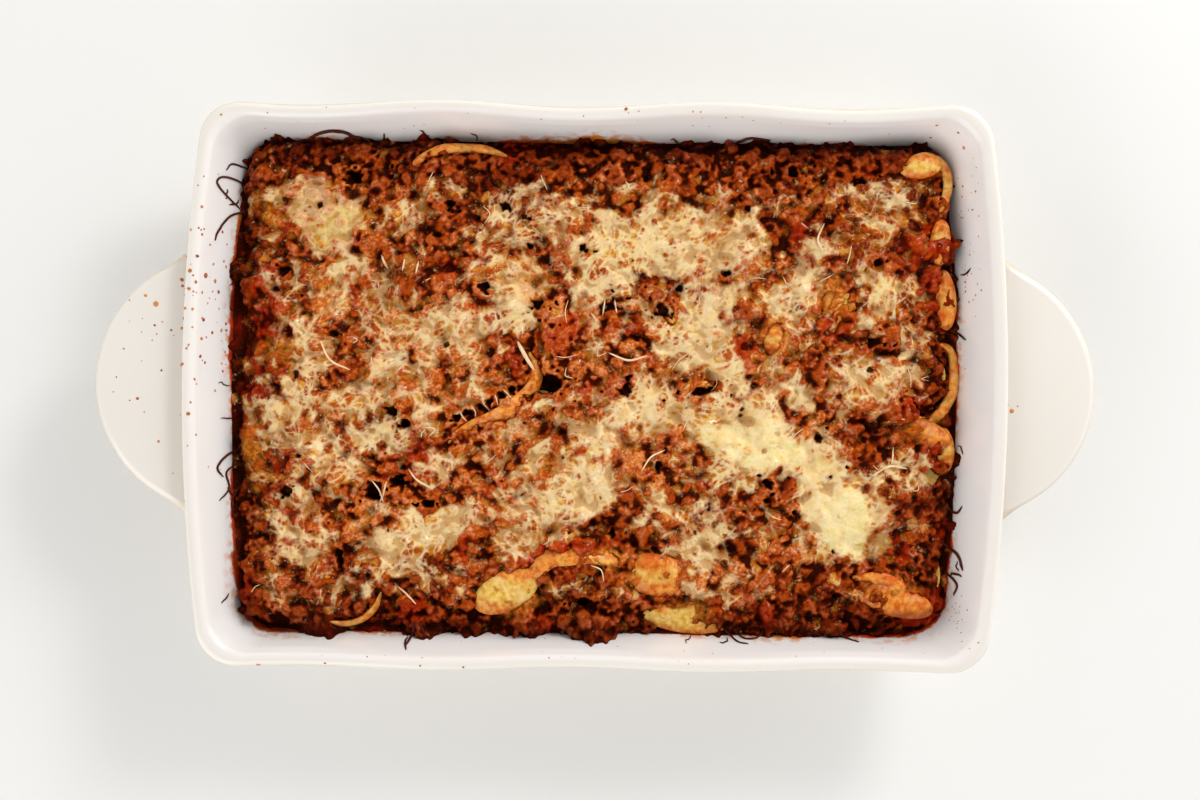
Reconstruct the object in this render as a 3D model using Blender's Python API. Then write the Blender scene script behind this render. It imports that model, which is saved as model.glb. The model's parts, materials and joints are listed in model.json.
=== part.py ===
"""Stoneware baking dish of stuffed pasta shells, baked under meat sauce and melted cheese.

Units are metres and +Z is up. The origin is the middle of the dish's flat base.
The dish's length runs along X, with a tab handle at each end.
Run with: blender --background --python part.py
"""

import math
import random

import bmesh
import bpy
from mathutils import Matrix, Vector, noise

MM = 0.001

# Dish: 9 by 13 inches inside its rim, with flared walls that bow out at the ends.
HEIGHT = 64 * MM
INNER_X = 159.5 * MM  # half of the mouth's length at its corners; the bow adds to it at the middle
INNER_Y = 114.5 * MM  # half of the mouth's width
CORNER = 15 * MM  # corner radius of the mouth
CORNER_SHARE = 0.1  # how much of an offset the corner radius takes up
END_BOW = 9 * MM  # how far the short sides bulge out at the rim
FLARE = 0.40  # outward run of the wall for each unit of height
WALL = 5.3 * MM
FLOOR = 8 * MM
FLOOR_FILLET = 9 * MM
RIM_RADIUS = 3.4 * MM
RIM_TUCK = 1.8 * MM  # how far the rounded rim stands in over the wall
RIM_DEGREES = (168, 130, 92, 54, 16, -22, -60)  # round the rim, from its inner side to its underside
RIM_WAVE_NORTH = 1.6 * MM  # how far the long rims wander in and out
RIM_WAVE_SOUTH = 0.8 * MM
RIM_WAVE_RISE = 0.8 * MM  # how far they rise and fall
RIM_WAVE_LENGTH = 115 * MM
RIM_CREST_X = -66 * MM
FLOOR_FILLET_STEPS = 3
WALL_LEVELS = (17 * MM, 40 * MM, 56 * MM)
OUTER_LEVELS = (55 * MM, 30 * MM, 8 * MM)
FOOT_EDGE, FOOT_TUCK = 2 * MM, 2.3 * MM  # the rounded edge of the base: how high, and how far in
LONG_STEPS, SHORT_STEPS, CORNER_STEPS = 14, 6, 4

# Tab handles: flat segments of a disc under the rim.
HANDLE_REACH = 211.5 * MM  # from the middle of the dish to the handle's tip
HANDLE_RADIUS = 55 * MM
HANDLE_TOP = 55 * MM
HANDLE_THICKNESS = 9 * MM
HANDLE_EDGE = 3.2 * MM
HANDLE_FLARE, HANDLE_FLARE_X = 5 * MM, 183 * MM  # the sides spread from here in to the wall
HANDLE_FLARE_RUN = 13 * MM
HANDLE_STEPS = 26
HANDLE_ROOT_X = 140 * MM

# Food: a lumpy bed of meat sauce, its surface a relief over the rows of shells.
GAP = 0.35 * MM  # clearance between touching pieces
FOOD_LEVEL = 45.5 * MM
EDGE_SAG = 4.5 * MM
EDGE_REACH = 12 * MM
HUMP = 3.2 * MM
COLUMN_PITCH, ROW_PITCH = 61 * MM, 42 * MM  # how the shells are laid out, long sides together
CRAG = 2.2 * MM
CRAG_SIZE = 15 * MM
RELIEF_PITCH = 8.2 * MM
RELIEF_CELLS_X, RELIEF_CELLS_Y = 40, 28

CRUMBLES = 62
CRUMBLE_RADII = (3.6 * MM, 5.8 * MM)
CRUMBLE_SPACING = 10 * MM
CRUMBLE_LIFT = 0.1  # share of its radius that a crumble's centre lies above the bed
CRUMBLE_JITTER = (0.82, 1.15)
CRUMBLE_CLEARANCE = 4 * MM  # kept to shells and cheese

# Stuffed shells that show: x, y and z in mm, turn about Z and roll about their length in
# degrees, length and width in mm. A roll lifts the north lip, and a negative one the south lip.
SHELLS = {
    "shell_north": (-58, 83, 34, -4, 14, 60, 36),
    "shell_north_east": (121, 81, 34, 0, 8, 56, 36),
    "shell_east_upper": (121, 42, 34, 0, 5, 56, 34),
    "shell_east_middle": (122, 4, 34, 2, -8, 56, 34),
    "shell_east_lower": (123, -34, 34, 4, -5, 52, 34),
    "shell_south_east": (122, -77, 31, -22, -30, 54, 33),
    "shell_south_middle": (-16, -71, 32, 10, -30, 62, 34),
    "shell_south_right": (42, -76, 31, 4, -28, 54, 33),
    "shell_south_west": (-110, -86, 34, 8, -10, 58, 34),
    "shell_centre_left": (-38, -21, 32, 29, 20, 58, 34),
    "shell_centre_top": (-7, 26, 34, 78, 4, 48, 32),
    "shell_centre_right": (42, -9, 32, 12, 22, 48, 33),
    "shell_right": (77, 29, 34, 62, -6, 44, 31),
}
SHELL_DEPTH = 36 * MM
SHELL_ROUNDS, SHELL_RINGS = 10, 7
MOUTH_SLOPE = 0.5  # the mouth is what lies above this slope, seen along the shell
MOUTH_END = 0.85  # and stops this share of the half length from the middle
LIP = 2.4 * MM
LIP_HEIGHT = 14 * MM  # above the shell's centre line
LIP_ARCH = 1.5 * MM  # how much higher the lips are at mid length
STUFFING_SINK = 1.6 * MM
STUFFING_LUMP, STUFFING_LUMP_SIZE = 2.5 * MM, 8 * MM
POCKET_HEIGHT = LIP_HEIGHT + 3 * MM  # above the centre line too, so that the lips stay clear

# Pools where the cheese melted together: x, y in mm, then half length and half width in mm.
CHEESE_POOLS = {
    "cheese_south_east": (99, -60, 19, 14),
    "cheese_east": (76, -30, 17, 12),
    "cheese_north": (20, 66, 30, 16),
    "cheese_north_west": (-116, 70, 18, 16),
    "cheese_south_west": (-82, -58, 20, 11),
    "cheese_west": (-84, 22, 18, 11),
}
CHEESE_EDGE, CHEESE_CROWN = 1.0 * MM, 1.6 * MM
CHEESE_SIDES = 16


# --- Scene helpers ---------------------------------------------------------------------------


def new_collection(name):
    collection = bpy.data.collections.new(name)
    bpy.context.scene.collection.children.link(collection)
    return collection


def material(name, colour, roughness):
    made = bpy.data.materials.new(name)
    made.use_nodes = True
    shader = made.node_tree.nodes["Principled BSDF"]
    shader.inputs["Base Color"].default_value = (*colour, 1.0)
    shader.inputs["Roughness"].default_value = roughness
    shader.inputs["Metallic"].default_value = 0.0
    return made


def add_object(name, bm, collection, finish=None):
    """Puts the bmesh in a new object of its own, with its faces pointing out."""
    bmesh.ops.recalc_face_normals(bm, faces=bm.faces)
    mesh = bpy.data.meshes.new(name)
    bm.to_mesh(mesh)
    bm.free()
    obj = bpy.data.objects.new(name, mesh)
    collection.objects.link(obj)
    if finish:
        mesh.materials.append(finish)
    return obj


def add_cutter(name, bm, collection):
    obj = add_object(name, bm, collection)
    obj.hide_render = True
    obj.display_type = "WIRE"
    return obj


def boolean(obj, operation, other):
    """Adds a Boolean with one object, or with all of a collection."""
    modifier = obj.modifiers.new(operation.title(), "BOOLEAN")
    modifier.operation = operation
    modifier.solver = "EXACT"
    if isinstance(other, bpy.types.Collection):
        modifier.operand_type = "COLLECTION"
        modifier.collection = other
    else:
        modifier.object = other


def apply_modifiers(obj):
    """Replaces the object's mesh by what its modifiers make of it."""
    graph = bpy.context.evaluated_depsgraph_get()
    mesh = bpy.data.meshes.new_from_object(obj.evaluated_get(graph))
    obj.modifiers.clear()
    obj.data = mesh


def drop_scraps(obj):
    """Keeps only the largest connected body of the object's mesh."""
    bm = bmesh.new()
    bm.from_mesh(obj.data)
    unseen = set(bm.verts)
    bodies = []
    while unseen:
        body, edge = set(), [unseen.pop()]
        while edge:
            vert = edge.pop()
            body.add(vert)
            linked = {e.other_vert(vert) for e in vert.link_edges} & unseen
            unseen -= linked
            edge.extend(linked)
        bodies.append(body)
    bodies.sort(key=len)
    for scrap in bodies[:-1]:
        bmesh.ops.delete(bm, geom=list(scrap), context="VERTS")
    bm.to_mesh(obj.data)
    bm.free()


# --- Dish ------------------------------------------------------------------------------------


def rim_wave(x):
    """How far along its wander a long rim is at x: 0 on a crest, down to -2 in a dip."""
    return math.cos(2 * math.pi * (x - RIM_CREST_X) / RIM_WAVE_LENGTH) - 1


def rounded_rectangle(half_x, half_y, corner):
    """Points around a rounded rectangle, anticlockwise from the west end of its south side."""
    points = []
    sides = (
        (half_x - corner, half_y, LONG_STEPS),
        (half_y - corner, half_x, SHORT_STEPS),
    )
    for quarter in range(4):
        half_run, reach, steps = sides[quarter % 2]
        turn = Matrix.Rotation(quarter * math.pi / 2, 2)
        for step in range(steps):
            points.append(turn @ Vector((half_run * (2 * step / steps - 1), -reach)))
        for step in range(CORNER_STEPS):
            angle = math.pi / 2 * (step / CORNER_STEPS - 1)
            arc = Vector((math.cos(angle), math.sin(angle))) * corner
            points.append(turn @ (Vector((half_run, corner - reach)) + arc))
    return points


def dish_ring(offset, height, rise=0.0):
    """The dish's plan at a height, moved out by offset from the mouth's own outline."""
    half_x, half_y = INNER_X + offset, INNER_Y + offset
    share = height / HEIGHT
    ring = []
    for x, y in rounded_rectangle(half_x, half_y, CORNER + CORNER_SHARE * offset):
        wander = rim_wave(x) * share**4 * (abs(y) / half_y) ** 6
        wave = RIM_WAVE_NORTH if y > 0 else RIM_WAVE_SOUTH
        bow = END_BOW * share**1.5 * (1 - min(1, abs(y) / half_y) ** 2)
        ring.append(
            Vector((
                x * (1 + bow / half_x),
                y * (1 + wave * wander / half_y),
                height + rise * wander,
            ))
        )
    return ring


def wall_offset(height):
    """How far the wall's inner face lies outside the mouth's outline at a height."""
    return -FLARE * (HEIGHT - height)


def inner_profile(gap=0.0):
    """Offset and height pairs from the floor up the inner wall, moved into the dish by gap."""
    top = FLOOR + FLOOR_FILLET
    start = Vector((wall_offset(FLOOR) - FLOOR_FILLET, FLOOR))
    corner = Vector((wall_offset(FLOOR), FLOOR))
    end = Vector((wall_offset(top), top))
    profile = []
    for step in range(FLOOR_FILLET_STEPS):
        t = step / FLOOR_FILLET_STEPS
        point = start * (1 - t) ** 2 + corner * 2 * t * (1 - t) + end * t**2
        profile.append((point.x - gap, point.y + gap))
    profile += [(wall_offset(level) - gap, level) for level in WALL_LEVELS]
    return profile


def loft(rings):
    """A closed body through the rings, with flat caps on the first and the last.

    Every loft splits its faces along the same diagonals, so that two nested ones stay clear.
    """
    bm = bmesh.new()
    loops = []
    for ring in rings:
        verts = [bm.verts.new(point) for point in ring]
        loops.append([bm.edges.new((verts[i - 1], verts[i])) for i in range(len(verts))])
    for lower, upper in zip(loops, loops[1:]):
        bmesh.ops.bridge_loops(bm, edges=lower + upper)
    bmesh.ops.triangulate(bm, faces=bm.faces, quad_method="FIXED")
    for cap in (loops[0], loops[-1]):
        bmesh.ops.edgeloop_fill(bm, edges=cap)
    return bm


def dish_body():
    """The bowl in one skin: up the inner wall, over the rolled rim and down the outer wall."""
    rings = [dish_ring(offset, height) for offset, height in inner_profile()]
    middle = Vector((RIM_RADIUS - RIM_TUCK, HEIGHT - RIM_RADIUS))
    for degrees in RIM_DEGREES:
        angle = math.radians(degrees)
        offset = middle.x + RIM_RADIUS * math.cos(angle)
        height = middle.y + RIM_RADIUS * math.sin(angle)
        rings.append(dish_ring(offset, height, RIM_WAVE_RISE))
    for height in OUTER_LEVELS:
        rings.append(dish_ring(wall_offset(height) + WALL, height))
    rings.append(dish_ring(wall_offset(FOOT_EDGE) + WALL - FOOT_TUCK, FOOT_EDGE))
    rings.append(dish_ring(wall_offset(0) + WALL - 2 * FOOT_TUCK, 0))
    return loft(rings)


def make_handle(side, cutters):
    """The flat tab at one end, with its edge rounded and its root still inside the dish."""
    middle_x = HANDLE_REACH - HANDLE_RADIUS
    root = math.acos((HANDLE_ROOT_X - middle_x) / HANDLE_RADIUS)
    curve = bpy.data.curves.new("handle", "CURVE")
    curve.dimensions = "2D"
    curve.fill_mode = "BOTH"
    curve.extrude = HANDLE_THICKNESS / 2
    spline = curve.splines.new("POLY")
    spline.points.add(HANDLE_STEPS)
    spline.use_cyclic_u = True
    for step, point in enumerate(spline.points):
        angle = root * (2 * step / HANDLE_STEPS - 1)
        x = middle_x + HANDLE_RADIUS * math.cos(angle)
        y = HANDLE_RADIUS * math.sin(angle)
        spread = min(1, max(0, (HANDLE_FLARE_X - x) / HANDLE_FLARE_RUN)) ** 2
        point.co = (side * x, y + math.copysign(spread * HANDLE_FLARE, y), 0, 1)
    flat = bpy.data.objects.new("handle_curve", curve)
    bpy.context.scene.collection.objects.link(flat)
    flat.location.z = HANDLE_TOP - HANDLE_THICKNESS / 2
    bpy.context.view_layer.update()
    graph = bpy.context.evaluated_depsgraph_get()
    mesh = bpy.data.meshes.new_from_object(flat.evaluated_get(graph))
    bm = bmesh.new()
    bm.from_mesh(mesh)
    bm.transform(flat.matrix_world)
    bmesh.ops.remove_doubles(bm, verts=bm.verts, dist=0.01 * MM)
    bmesh.ops.dissolve_limit(bm, angle_limit=math.radians(1), verts=bm.verts, edges=bm.edges)
    rim = [e for e in bm.edges if e.calc_face_angle(0) > math.radians(60)]
    bmesh.ops.bevel(
        bm,
        geom=rim,
        offset=HANDLE_EDGE,
        offset_type="OFFSET",
        segments=3,
        profile=0.5,
        affect="EDGES",
        material=-1,
    )
    bpy.data.objects.remove(flat)
    bpy.data.curves.remove(curve)
    return add_cutter(f"handle_{'east' if side > 0 else 'west'}", bm, cutters)


def make_dish(parts, cutters, finish):
    """The bowl with its two handles. Each root ends inside the wall, so none shows in the dish."""
    dish = add_object("dish", dish_body(), parts, finish)
    root_rings = [
        dish_ring(wall_offset(height) + WALL / 2, height) for height in (FLOOR, HEIGHT)
    ]
    hollow = add_cutter("handle_hollow", loft(root_rings), cutters)
    for side in (1, -1):
        handle = make_handle(side, cutters)
        boolean(handle, "DIFFERENCE", hollow)
        apply_modifiers(handle)
        boolean(dish, "UNION", handle)
    apply_modifiers(dish)
    dish.data.shade_smooth()
    dish.data.set_sharp_from_angle(angle=math.radians(40))
    return dish


# --- Food ------------------------------------------------------------------------------------


def hump(x, y):
    """Rise of the bed over the rows and columns of shells beneath it, from 0 to 1."""
    across = abs((x / COLUMN_PITCH + 0.5) % 1 - 0.5) * 2
    along = abs((y / ROW_PITCH + 0.5) % 1 - 0.5) * 2
    return (1 - across**2) * (1 - along**2)


def food_height(x, y):
    """Height of the bare bed of meat sauce."""
    to_wall = min(INNER_X - abs(x), INNER_Y - abs(y)) + wall_offset(FOOD_LEVEL)
    sag = EDGE_SAG * math.exp(-max(0, to_wall) / EDGE_REACH)
    near = noise.voronoi(Vector((x, y, 0)) / CRAG_SIZE)[0][0]
    lump = CRAG * (1 - min(1, near / 0.7) ** 2)
    return FOOD_LEVEL - sag + HUMP * hump(x, y) + lump - CRAG / 2


def relief(cells_x, cells_y, centre, bottom, top):
    """A slab on the bed's own lattice, between two height functions of x and y."""
    bm = bmesh.new()
    bmesh.ops.create_grid(bm, x_segments=cells_x, y_segments=cells_y, size=0.5)
    size = Vector((cells_x * RELIEF_PITCH, cells_y * RELIEF_PITCH, 1))
    bmesh.ops.scale(bm, vec=size, verts=bm.verts)
    bmesh.ops.translate(bm, vec=(*centre, 0), verts=bm.verts)
    bmesh.ops.triangulate(bm, faces=bm.faces, quad_method="FIXED")
    raised = bmesh.ops.extrude_face_region(bm, geom=bm.faces, use_keep_orig=True)["geom"]
    upper = {item for item in raised if isinstance(item, bmesh.types.BMVert)}
    for vert in bm.verts:
        height = top if vert in upper else bottom
        vert.co.z = height(vert.co.x, vert.co.y)
    return bm


def shell_matrix(x, y, z, turn, roll):
    """Where a shell lies in the dish, from its own frame with its length along X."""
    place = Matrix.Translation(Vector((x, y, z)) * MM)
    return (
        place
        @ Matrix.Rotation(math.radians(turn), 4, "Z")
        @ Matrix.Rotation(math.radians(roll), 4, "X")
    )


def shell_hull(length, width, grow=0.0):
    """A boat-shaped hull about the origin, its poles at the two ends of its length."""
    bm = bmesh.new()
    bmesh.ops.create_uvsphere(bm, u_segments=SHELL_ROUNDS, v_segments=SHELL_RINGS, radius=1)
    bmesh.ops.rotate(bm, matrix=Matrix.Rotation(math.pi / 2, 3, "Y"), verts=bm.verts)
    half_round = Matrix.Rotation(math.pi / SHELL_ROUNDS, 3, "X")
    bmesh.ops.rotate(bm, matrix=half_round, verts=bm.verts)
    size = Vector((length * MM / 2 + grow, width * MM / 2 + grow, SHELL_DEPTH / 2 + grow))
    bmesh.ops.scale(bm, vec=size, verts=bm.verts)
    return bm


def raise_mouth(bm, length, width, height):
    """Extrudes the hull's opening straight up to an arched top, and returns its faces."""
    mouth = []
    for face in bm.faces:
        x, y, z = face.calc_center_median()
        high = z / SHELL_DEPTH > MOUTH_SLOPE * abs(y) / (width * MM)
        if high and abs(x) < MOUTH_END * length * MM / 2:
            mouth.append(face)
    raised = bmesh.ops.extrude_face_region(bm, geom=mouth)["geom"]
    bmesh.ops.delete(bm, geom=mouth, context="FACES")
    for item in raised:
        if isinstance(item, bmesh.types.BMVert):
            item.co.z = height + LIP_ARCH * (1 - (2 * item.co.x / (length * MM)) ** 2)
    return [item for item in raised if isinstance(item, bmesh.types.BMFace)]


def make_shell(name, place, plug, parts, finish):
    """One stuffed shell: the pasta's hull, its raised lips, and the stuffing sunk between them."""
    x, y, z, turn, roll, length, width = place
    bm = shell_hull(length, width)
    mouth = raise_mouth(bm, length, width, LIP_HEIGHT)
    bmesh.ops.inset_region(bm, faces=mouth, thickness=LIP, use_even_offset=True)
    for vert in {v for f in mouth for v in f.verts}:
        lump = noise.noise(Vector((vert.co.x + x * MM, vert.co.y + y * MM, 0)) / STUFFING_LUMP_SIZE)
        vert.co.z += lump * STUFFING_LUMP - STUFFING_SINK
    shell = add_object(name, bm, parts, finish)
    shell.matrix_world = shell_matrix(x, y, z, turn, roll)
    bpy.context.view_layer.update()
    boolean(shell, "INTERSECT", plug)
    shell.data.shade_smooth()
    return shell


def make_pocket(name, place, cutters):
    """What a shell pushes aside: its hull with the clearance, and the space of its lips."""
    x, y, z, turn, roll, length, width = place
    bm = shell_hull(length, width, GAP)
    raise_mouth(bm, length, width, POCKET_HEIGHT)
    pocket = add_cutter(f"{name}_pocket", bm, cutters)
    pocket.matrix_world = shell_matrix(x, y, z, turn, roll)


def in_ellipse(x, y, centre, radii, turn=0.0):
    """Distance from the centre as a share of the ellipse's own radius in that direction."""
    local = Matrix.Rotation(-turn, 2) @ Vector((x - centre[0], y - centre[1]))
    return math.hypot(local.x / radii[0], local.y / radii[1])


def is_covered(x, y, margin):
    """Whether a crumble here would touch a shell or a pool of cheese."""
    for shell_x, shell_y, _, turn, _, length, width in SHELLS.values():
        radii = (length * MM / 2 + margin, width * MM / 2 + margin)
        if in_ellipse(x, y, (shell_x * MM, shell_y * MM), radii, math.radians(turn)) < 1:
            return True
    for pool_x, pool_y, half_x, half_y in CHEESE_POOLS.values():
        radii = (half_x * MM * 1.2 + margin, half_y * MM * 1.2 + margin)
        if in_ellipse(x, y, (pool_x * MM, pool_y * MM), radii) < 1:
            return True
    return False


def make_crumble(index, x, y, radius, draw, crumbles):
    """One crumble of browned meat, a jittered icosahedron sunk to its middle in the bed."""
    bm = bmesh.new()
    bmesh.ops.create_icosphere(bm, subdivisions=1, radius=radius)
    for vert in bm.verts:
        vert.co *= draw.uniform(*CRUMBLE_JITTER)
    spin = Matrix.Rotation(draw.uniform(0, math.tau), 3, "Z")
    bmesh.ops.rotate(bm, matrix=spin, verts=bm.verts)
    height = food_height(x, y) + CRUMBLE_LIFT * radius
    bmesh.ops.translate(bm, vec=(x, y, height), verts=bm.verts)
    add_cutter(f"crumble_{index}", bm, crumbles)


def scatter_crumbles(crumbles):
    """Spreads the crumbles evenly over the open bed, at a spacing, by seeded draws."""
    draw = random.Random(7)
    placed = []
    reach_x = INNER_X + wall_offset(FOOD_LEVEL) - 2 * CRUMBLE_RADII[1]
    reach_y = INNER_Y + wall_offset(FOOD_LEVEL) - 2 * CRUMBLE_RADII[1]
    for _ in range(CRUMBLES * 60):
        x, y = draw.uniform(-reach_x, reach_x), draw.uniform(-reach_y, reach_y)
        radius = draw.uniform(*CRUMBLE_RADII)
        near = any(math.hypot(x - a, y - b) < CRUMBLE_SPACING for a, b in placed)
        if near or is_covered(x, y, radius * CRUMBLE_JITTER[1] + CRUMBLE_CLEARANCE):
            continue
        placed.append((x, y))
        make_crumble(len(placed), x, y, radius, draw, crumbles)
        if len(placed) == CRUMBLES:
            break


def make_meat_sauce(plug, pockets, crumbles, parts, finish):
    """The bed in the dish's own shape, with the shells' pockets cut and the crumbles fused on."""
    bed = relief(RELIEF_CELLS_X, RELIEF_CELLS_Y, (0, 0), lambda x, y: 0, food_height)
    meat = add_object("meat_sauce", bed, parts, finish)
    boolean(meat, "INTERSECT", plug)
    boolean(meat, "DIFFERENCE", pockets)
    apply_modifiers(meat)
    boolean(meat, "UNION", crumbles)
    apply_modifiers(meat)
    drop_scraps(meat)
    return meat


def make_cheese(name, place, pockets, parts, cutters, finish):
    """A pool of melted cheese: a thin crowned layer that follows the bed under it."""
    x, y, half_x, half_y = (value * MM for value in place)
    snapped = [round(value / RELIEF_PITCH) * RELIEF_PITCH for value in (x, y)]
    cells = [2 * math.ceil((half * 1.25) / RELIEF_PITCH + 1) for half in (half_x, half_y)]

    def underside(u, v):
        return food_height(u, v) + GAP

    def surface(u, v):
        out = in_ellipse(u, v, (x, y), (half_x, half_y))
        return underside(u, v) + CHEESE_EDGE + CHEESE_CROWN * max(0, 1 - out**2)

    pool = add_object(name, relief(*cells, snapped, underside, surface), parts, finish)
    bm = bmesh.new()
    bmesh.ops.create_cone(
        bm, cap_ends=True, segments=CHEESE_SIDES, radius1=1, radius2=1, depth=HEIGHT * 2
    )
    for vert in bm.verts:
        angle = math.atan2(vert.co.y, vert.co.x)
        reach = 1 + 0.12 * math.sin(3 * angle + x / MM) + 0.08 * math.sin(5 * angle + y / MM)
        vert.co.x = x + vert.co.x * reach * half_x
        vert.co.y = y + vert.co.y * reach * half_y
    boolean(pool, "INTERSECT", add_cutter(f"{name}_outline", bm, cutters))
    boolean(pool, "DIFFERENCE", pockets)
    apply_modifiers(pool)
    pool.data.shade_smooth()


def main():
    for obj in list(bpy.data.objects):
        bpy.data.objects.remove(obj)
    parts = new_collection("stuffed_shells_in_dish")
    cutters = new_collection("cutters")
    pockets = new_collection("pockets")
    crumbles = new_collection("crumbles")
    glaze = material("white_glaze", (0.86, 0.83, 0.79), 0.18)
    sauce = material("meat_sauce", (0.30, 0.075, 0.025), 0.4)
    pasta = material("baked_pasta", (0.80, 0.38, 0.08), 0.35)
    cheese = material("melted_cheese", (0.83, 0.74, 0.48), 0.3)

    make_dish(parts, cutters, glaze)
    plug_rings = [dish_ring(offset, height) for offset, height in inner_profile(GAP)]
    plug = add_cutter("food_plug", loft(plug_rings), cutters)
    for name, place in SHELLS.items():
        make_shell(name, place, plug, parts, pasta)
        make_pocket(name, place, pockets)
    scatter_crumbles(crumbles)
    bpy.context.view_layer.update()
    make_meat_sauce(plug, pockets, crumbles, parts, sauce)
    for name, place in CHEESE_POOLS.items():
        make_cheese(name, place, pockets, parts, cutters, cheese)
    for helper in list(crumbles.objects):
        bpy.data.objects.remove(helper)


main()
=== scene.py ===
# %% [markdown]
# # A dish of stuffed pasta shells, baked under meat sauce and cheese
# The dish and the food come in as plain solids: they fix every size and place. This script
# dresses them. The food is the hard part. It is a crust of hundreds of crumbs of meat under
# cheese that melted over them, so most of this file makes one fine relief from simple rules.

# %% Load the frame
import math
import random

import bmesh
import bpy
import numpy as np
from mathutils import Matrix, Vector, noise
from mathutils.bvhtree import BVHTree
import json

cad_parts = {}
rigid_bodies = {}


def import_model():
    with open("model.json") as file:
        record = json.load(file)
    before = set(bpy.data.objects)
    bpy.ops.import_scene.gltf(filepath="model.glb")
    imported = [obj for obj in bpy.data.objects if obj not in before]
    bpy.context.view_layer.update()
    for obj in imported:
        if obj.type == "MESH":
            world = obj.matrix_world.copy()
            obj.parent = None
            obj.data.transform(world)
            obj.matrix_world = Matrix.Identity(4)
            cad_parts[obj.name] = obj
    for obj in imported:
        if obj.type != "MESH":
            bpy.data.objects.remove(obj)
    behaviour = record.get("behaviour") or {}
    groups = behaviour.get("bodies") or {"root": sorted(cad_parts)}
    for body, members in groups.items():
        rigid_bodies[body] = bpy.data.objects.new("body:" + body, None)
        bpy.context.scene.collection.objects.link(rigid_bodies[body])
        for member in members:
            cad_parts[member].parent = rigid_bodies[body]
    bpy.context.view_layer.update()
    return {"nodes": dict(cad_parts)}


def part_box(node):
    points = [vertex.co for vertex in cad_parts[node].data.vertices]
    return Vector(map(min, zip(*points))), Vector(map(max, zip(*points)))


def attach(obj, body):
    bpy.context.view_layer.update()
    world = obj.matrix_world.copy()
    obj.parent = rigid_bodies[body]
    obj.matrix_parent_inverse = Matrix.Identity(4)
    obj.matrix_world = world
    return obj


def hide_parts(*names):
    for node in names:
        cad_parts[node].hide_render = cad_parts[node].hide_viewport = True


MM = 0.001
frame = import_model()
scene = bpy.context.scene
dish_low, dish_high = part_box("dish")
meat_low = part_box("meat_sauce")[0]
shells = sorted(name for name in frame["nodes"] if name.startswith("shell"))
pools = sorted(name for name in frame["nodes"] if name.startswith("cheese"))
print("dish", dish_high - dish_low, "shells", len(shells), "pools", len(pools))

# %% [markdown]
# ## Camera and light
# The dish is seen from straight above, from a little under a metre, so the four inner walls
# show and the outer ones don't. A long lens from a tall stand gives that. The light of a
# window comes from the upper right and is soft, so a large lamp is used and not a sun.


# %% Camera
def add_object(name, data):
    """Puts a camera, a lamp or a mesh in the scene."""
    made = bpy.data.objects.new(name, data)
    scene.collection.objects.link(made)
    return made


CAMERA_HEIGHT = 0.87  # above the rim
SEEN_WIDTH = 0.5012  # of the rim's plane
TURN = math.radians(0.5)
lens = bpy.data.cameras.new("camera")
lens.sensor_width = 36
lens.lens = lens.sensor_width * CAMERA_HEIGHT / SEEN_WIDTH
lens.shift_x = 0.0042
lens.shift_y = -0.0117
lens.clip_end = 20
camera = add_object("camera", lens)
camera.location = (0, 0, dish_high.z + CAMERA_HEIGHT)
camera.rotation_euler = (0, 0, TURN)
scene.camera = camera
scene.view_settings.view_transform = "Standard"
print("lens", round(lens.lens, 1), "mm")


# %% Lamps
def lamp(name, place, size, power):
    """A square soft lamp of daylight that faces the middle of the dish."""
    light = bpy.data.lights.new(name, "AREA")
    light.size = size
    light.energy = power
    light.color = (1.0, 0.985, 0.96)
    holder = add_object(name, light)
    holder.location = place
    holder.rotation_euler = (-Vector(place)).to_track_quat("-Z", "Y").to_euler()


lamp("window", (0.85, 1.0, 1.05), 0.42, 8.5)
lamp("window_glow", (1.3, 1.2, 0.8), 1.7, 12)
lamp("room_glow", (-1.0, -1.2, 0.8), 1.7, 13.5)

# %% [markdown]
# ## Finishes
# A small class wraps a node's output, so that a finish reads as a sum. Python's own operators
# add the Math nodes. Colours are given as a screen shows them, each channel from 0 to 255.


# %% A wrapper for sockets
class Wire:
    """An output socket in a finish. The operators add Math nodes."""

    def __init__(self, finish, socket):
        self.finish = finish
        self.socket = socket

    def math(self, operation, *values):
        made = self.finish.node("ShaderNodeMath", {"operation": operation}, dict(enumerate(values)))
        return made["Value"]

    def __add__(self, other):
        return self.math("ADD", self, other)

    def __sub__(self, other):
        return self.math("SUBTRACT", self, other)

    def __rsub__(self, other):
        return self.math("SUBTRACT", other, self)

    def __mul__(self, other):
        return self.math("MULTIPLY", self, other)

    def __truediv__(self, other):
        return self.math("DIVIDE", self, other)

    __radd__ = __add__
    __rmul__ = __mul__

    def limit(self):
        """The value held between 0 and 1."""
        return self.finish.node("ShaderNodeClamp", {}, {"Value": self})["Result"]

    def step(self, low, high):
        """0 below low, 1 above high and a soft slope between them."""
        soft = {"interpolation_type": "SMOOTHSTEP"}
        inputs = {"Value": self, "From Min": low, "From Max": high}
        return self.finish.node("ShaderNodeMapRange", soft, inputs)["Result"]


class Graph:
    """Short ways to add nodes to a tree."""

    def __init__(self, tree):
        self.tree = tree

    def node(self, kind, settings, inputs):
        """Adds a node with its settings and inputs, and returns its outputs by name."""
        made = self.tree.nodes.new(kind)
        for key, value in settings.items():
            setattr(made, key, value)
        for key, value in inputs.items():
            self.put(made.inputs[key], value)
        return {out.name: Wire(self, out) for out in made.outputs if out.enabled}

    def put(self, socket, value):
        """Links a wire to the socket, or writes a plain value in it."""
        if isinstance(value, Wire):
            self.tree.links.new(value.socket, socket)
        elif socket.type == "RGBA":
            socket.default_value = (*value, 1)
        else:
            socket.default_value = value


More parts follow.
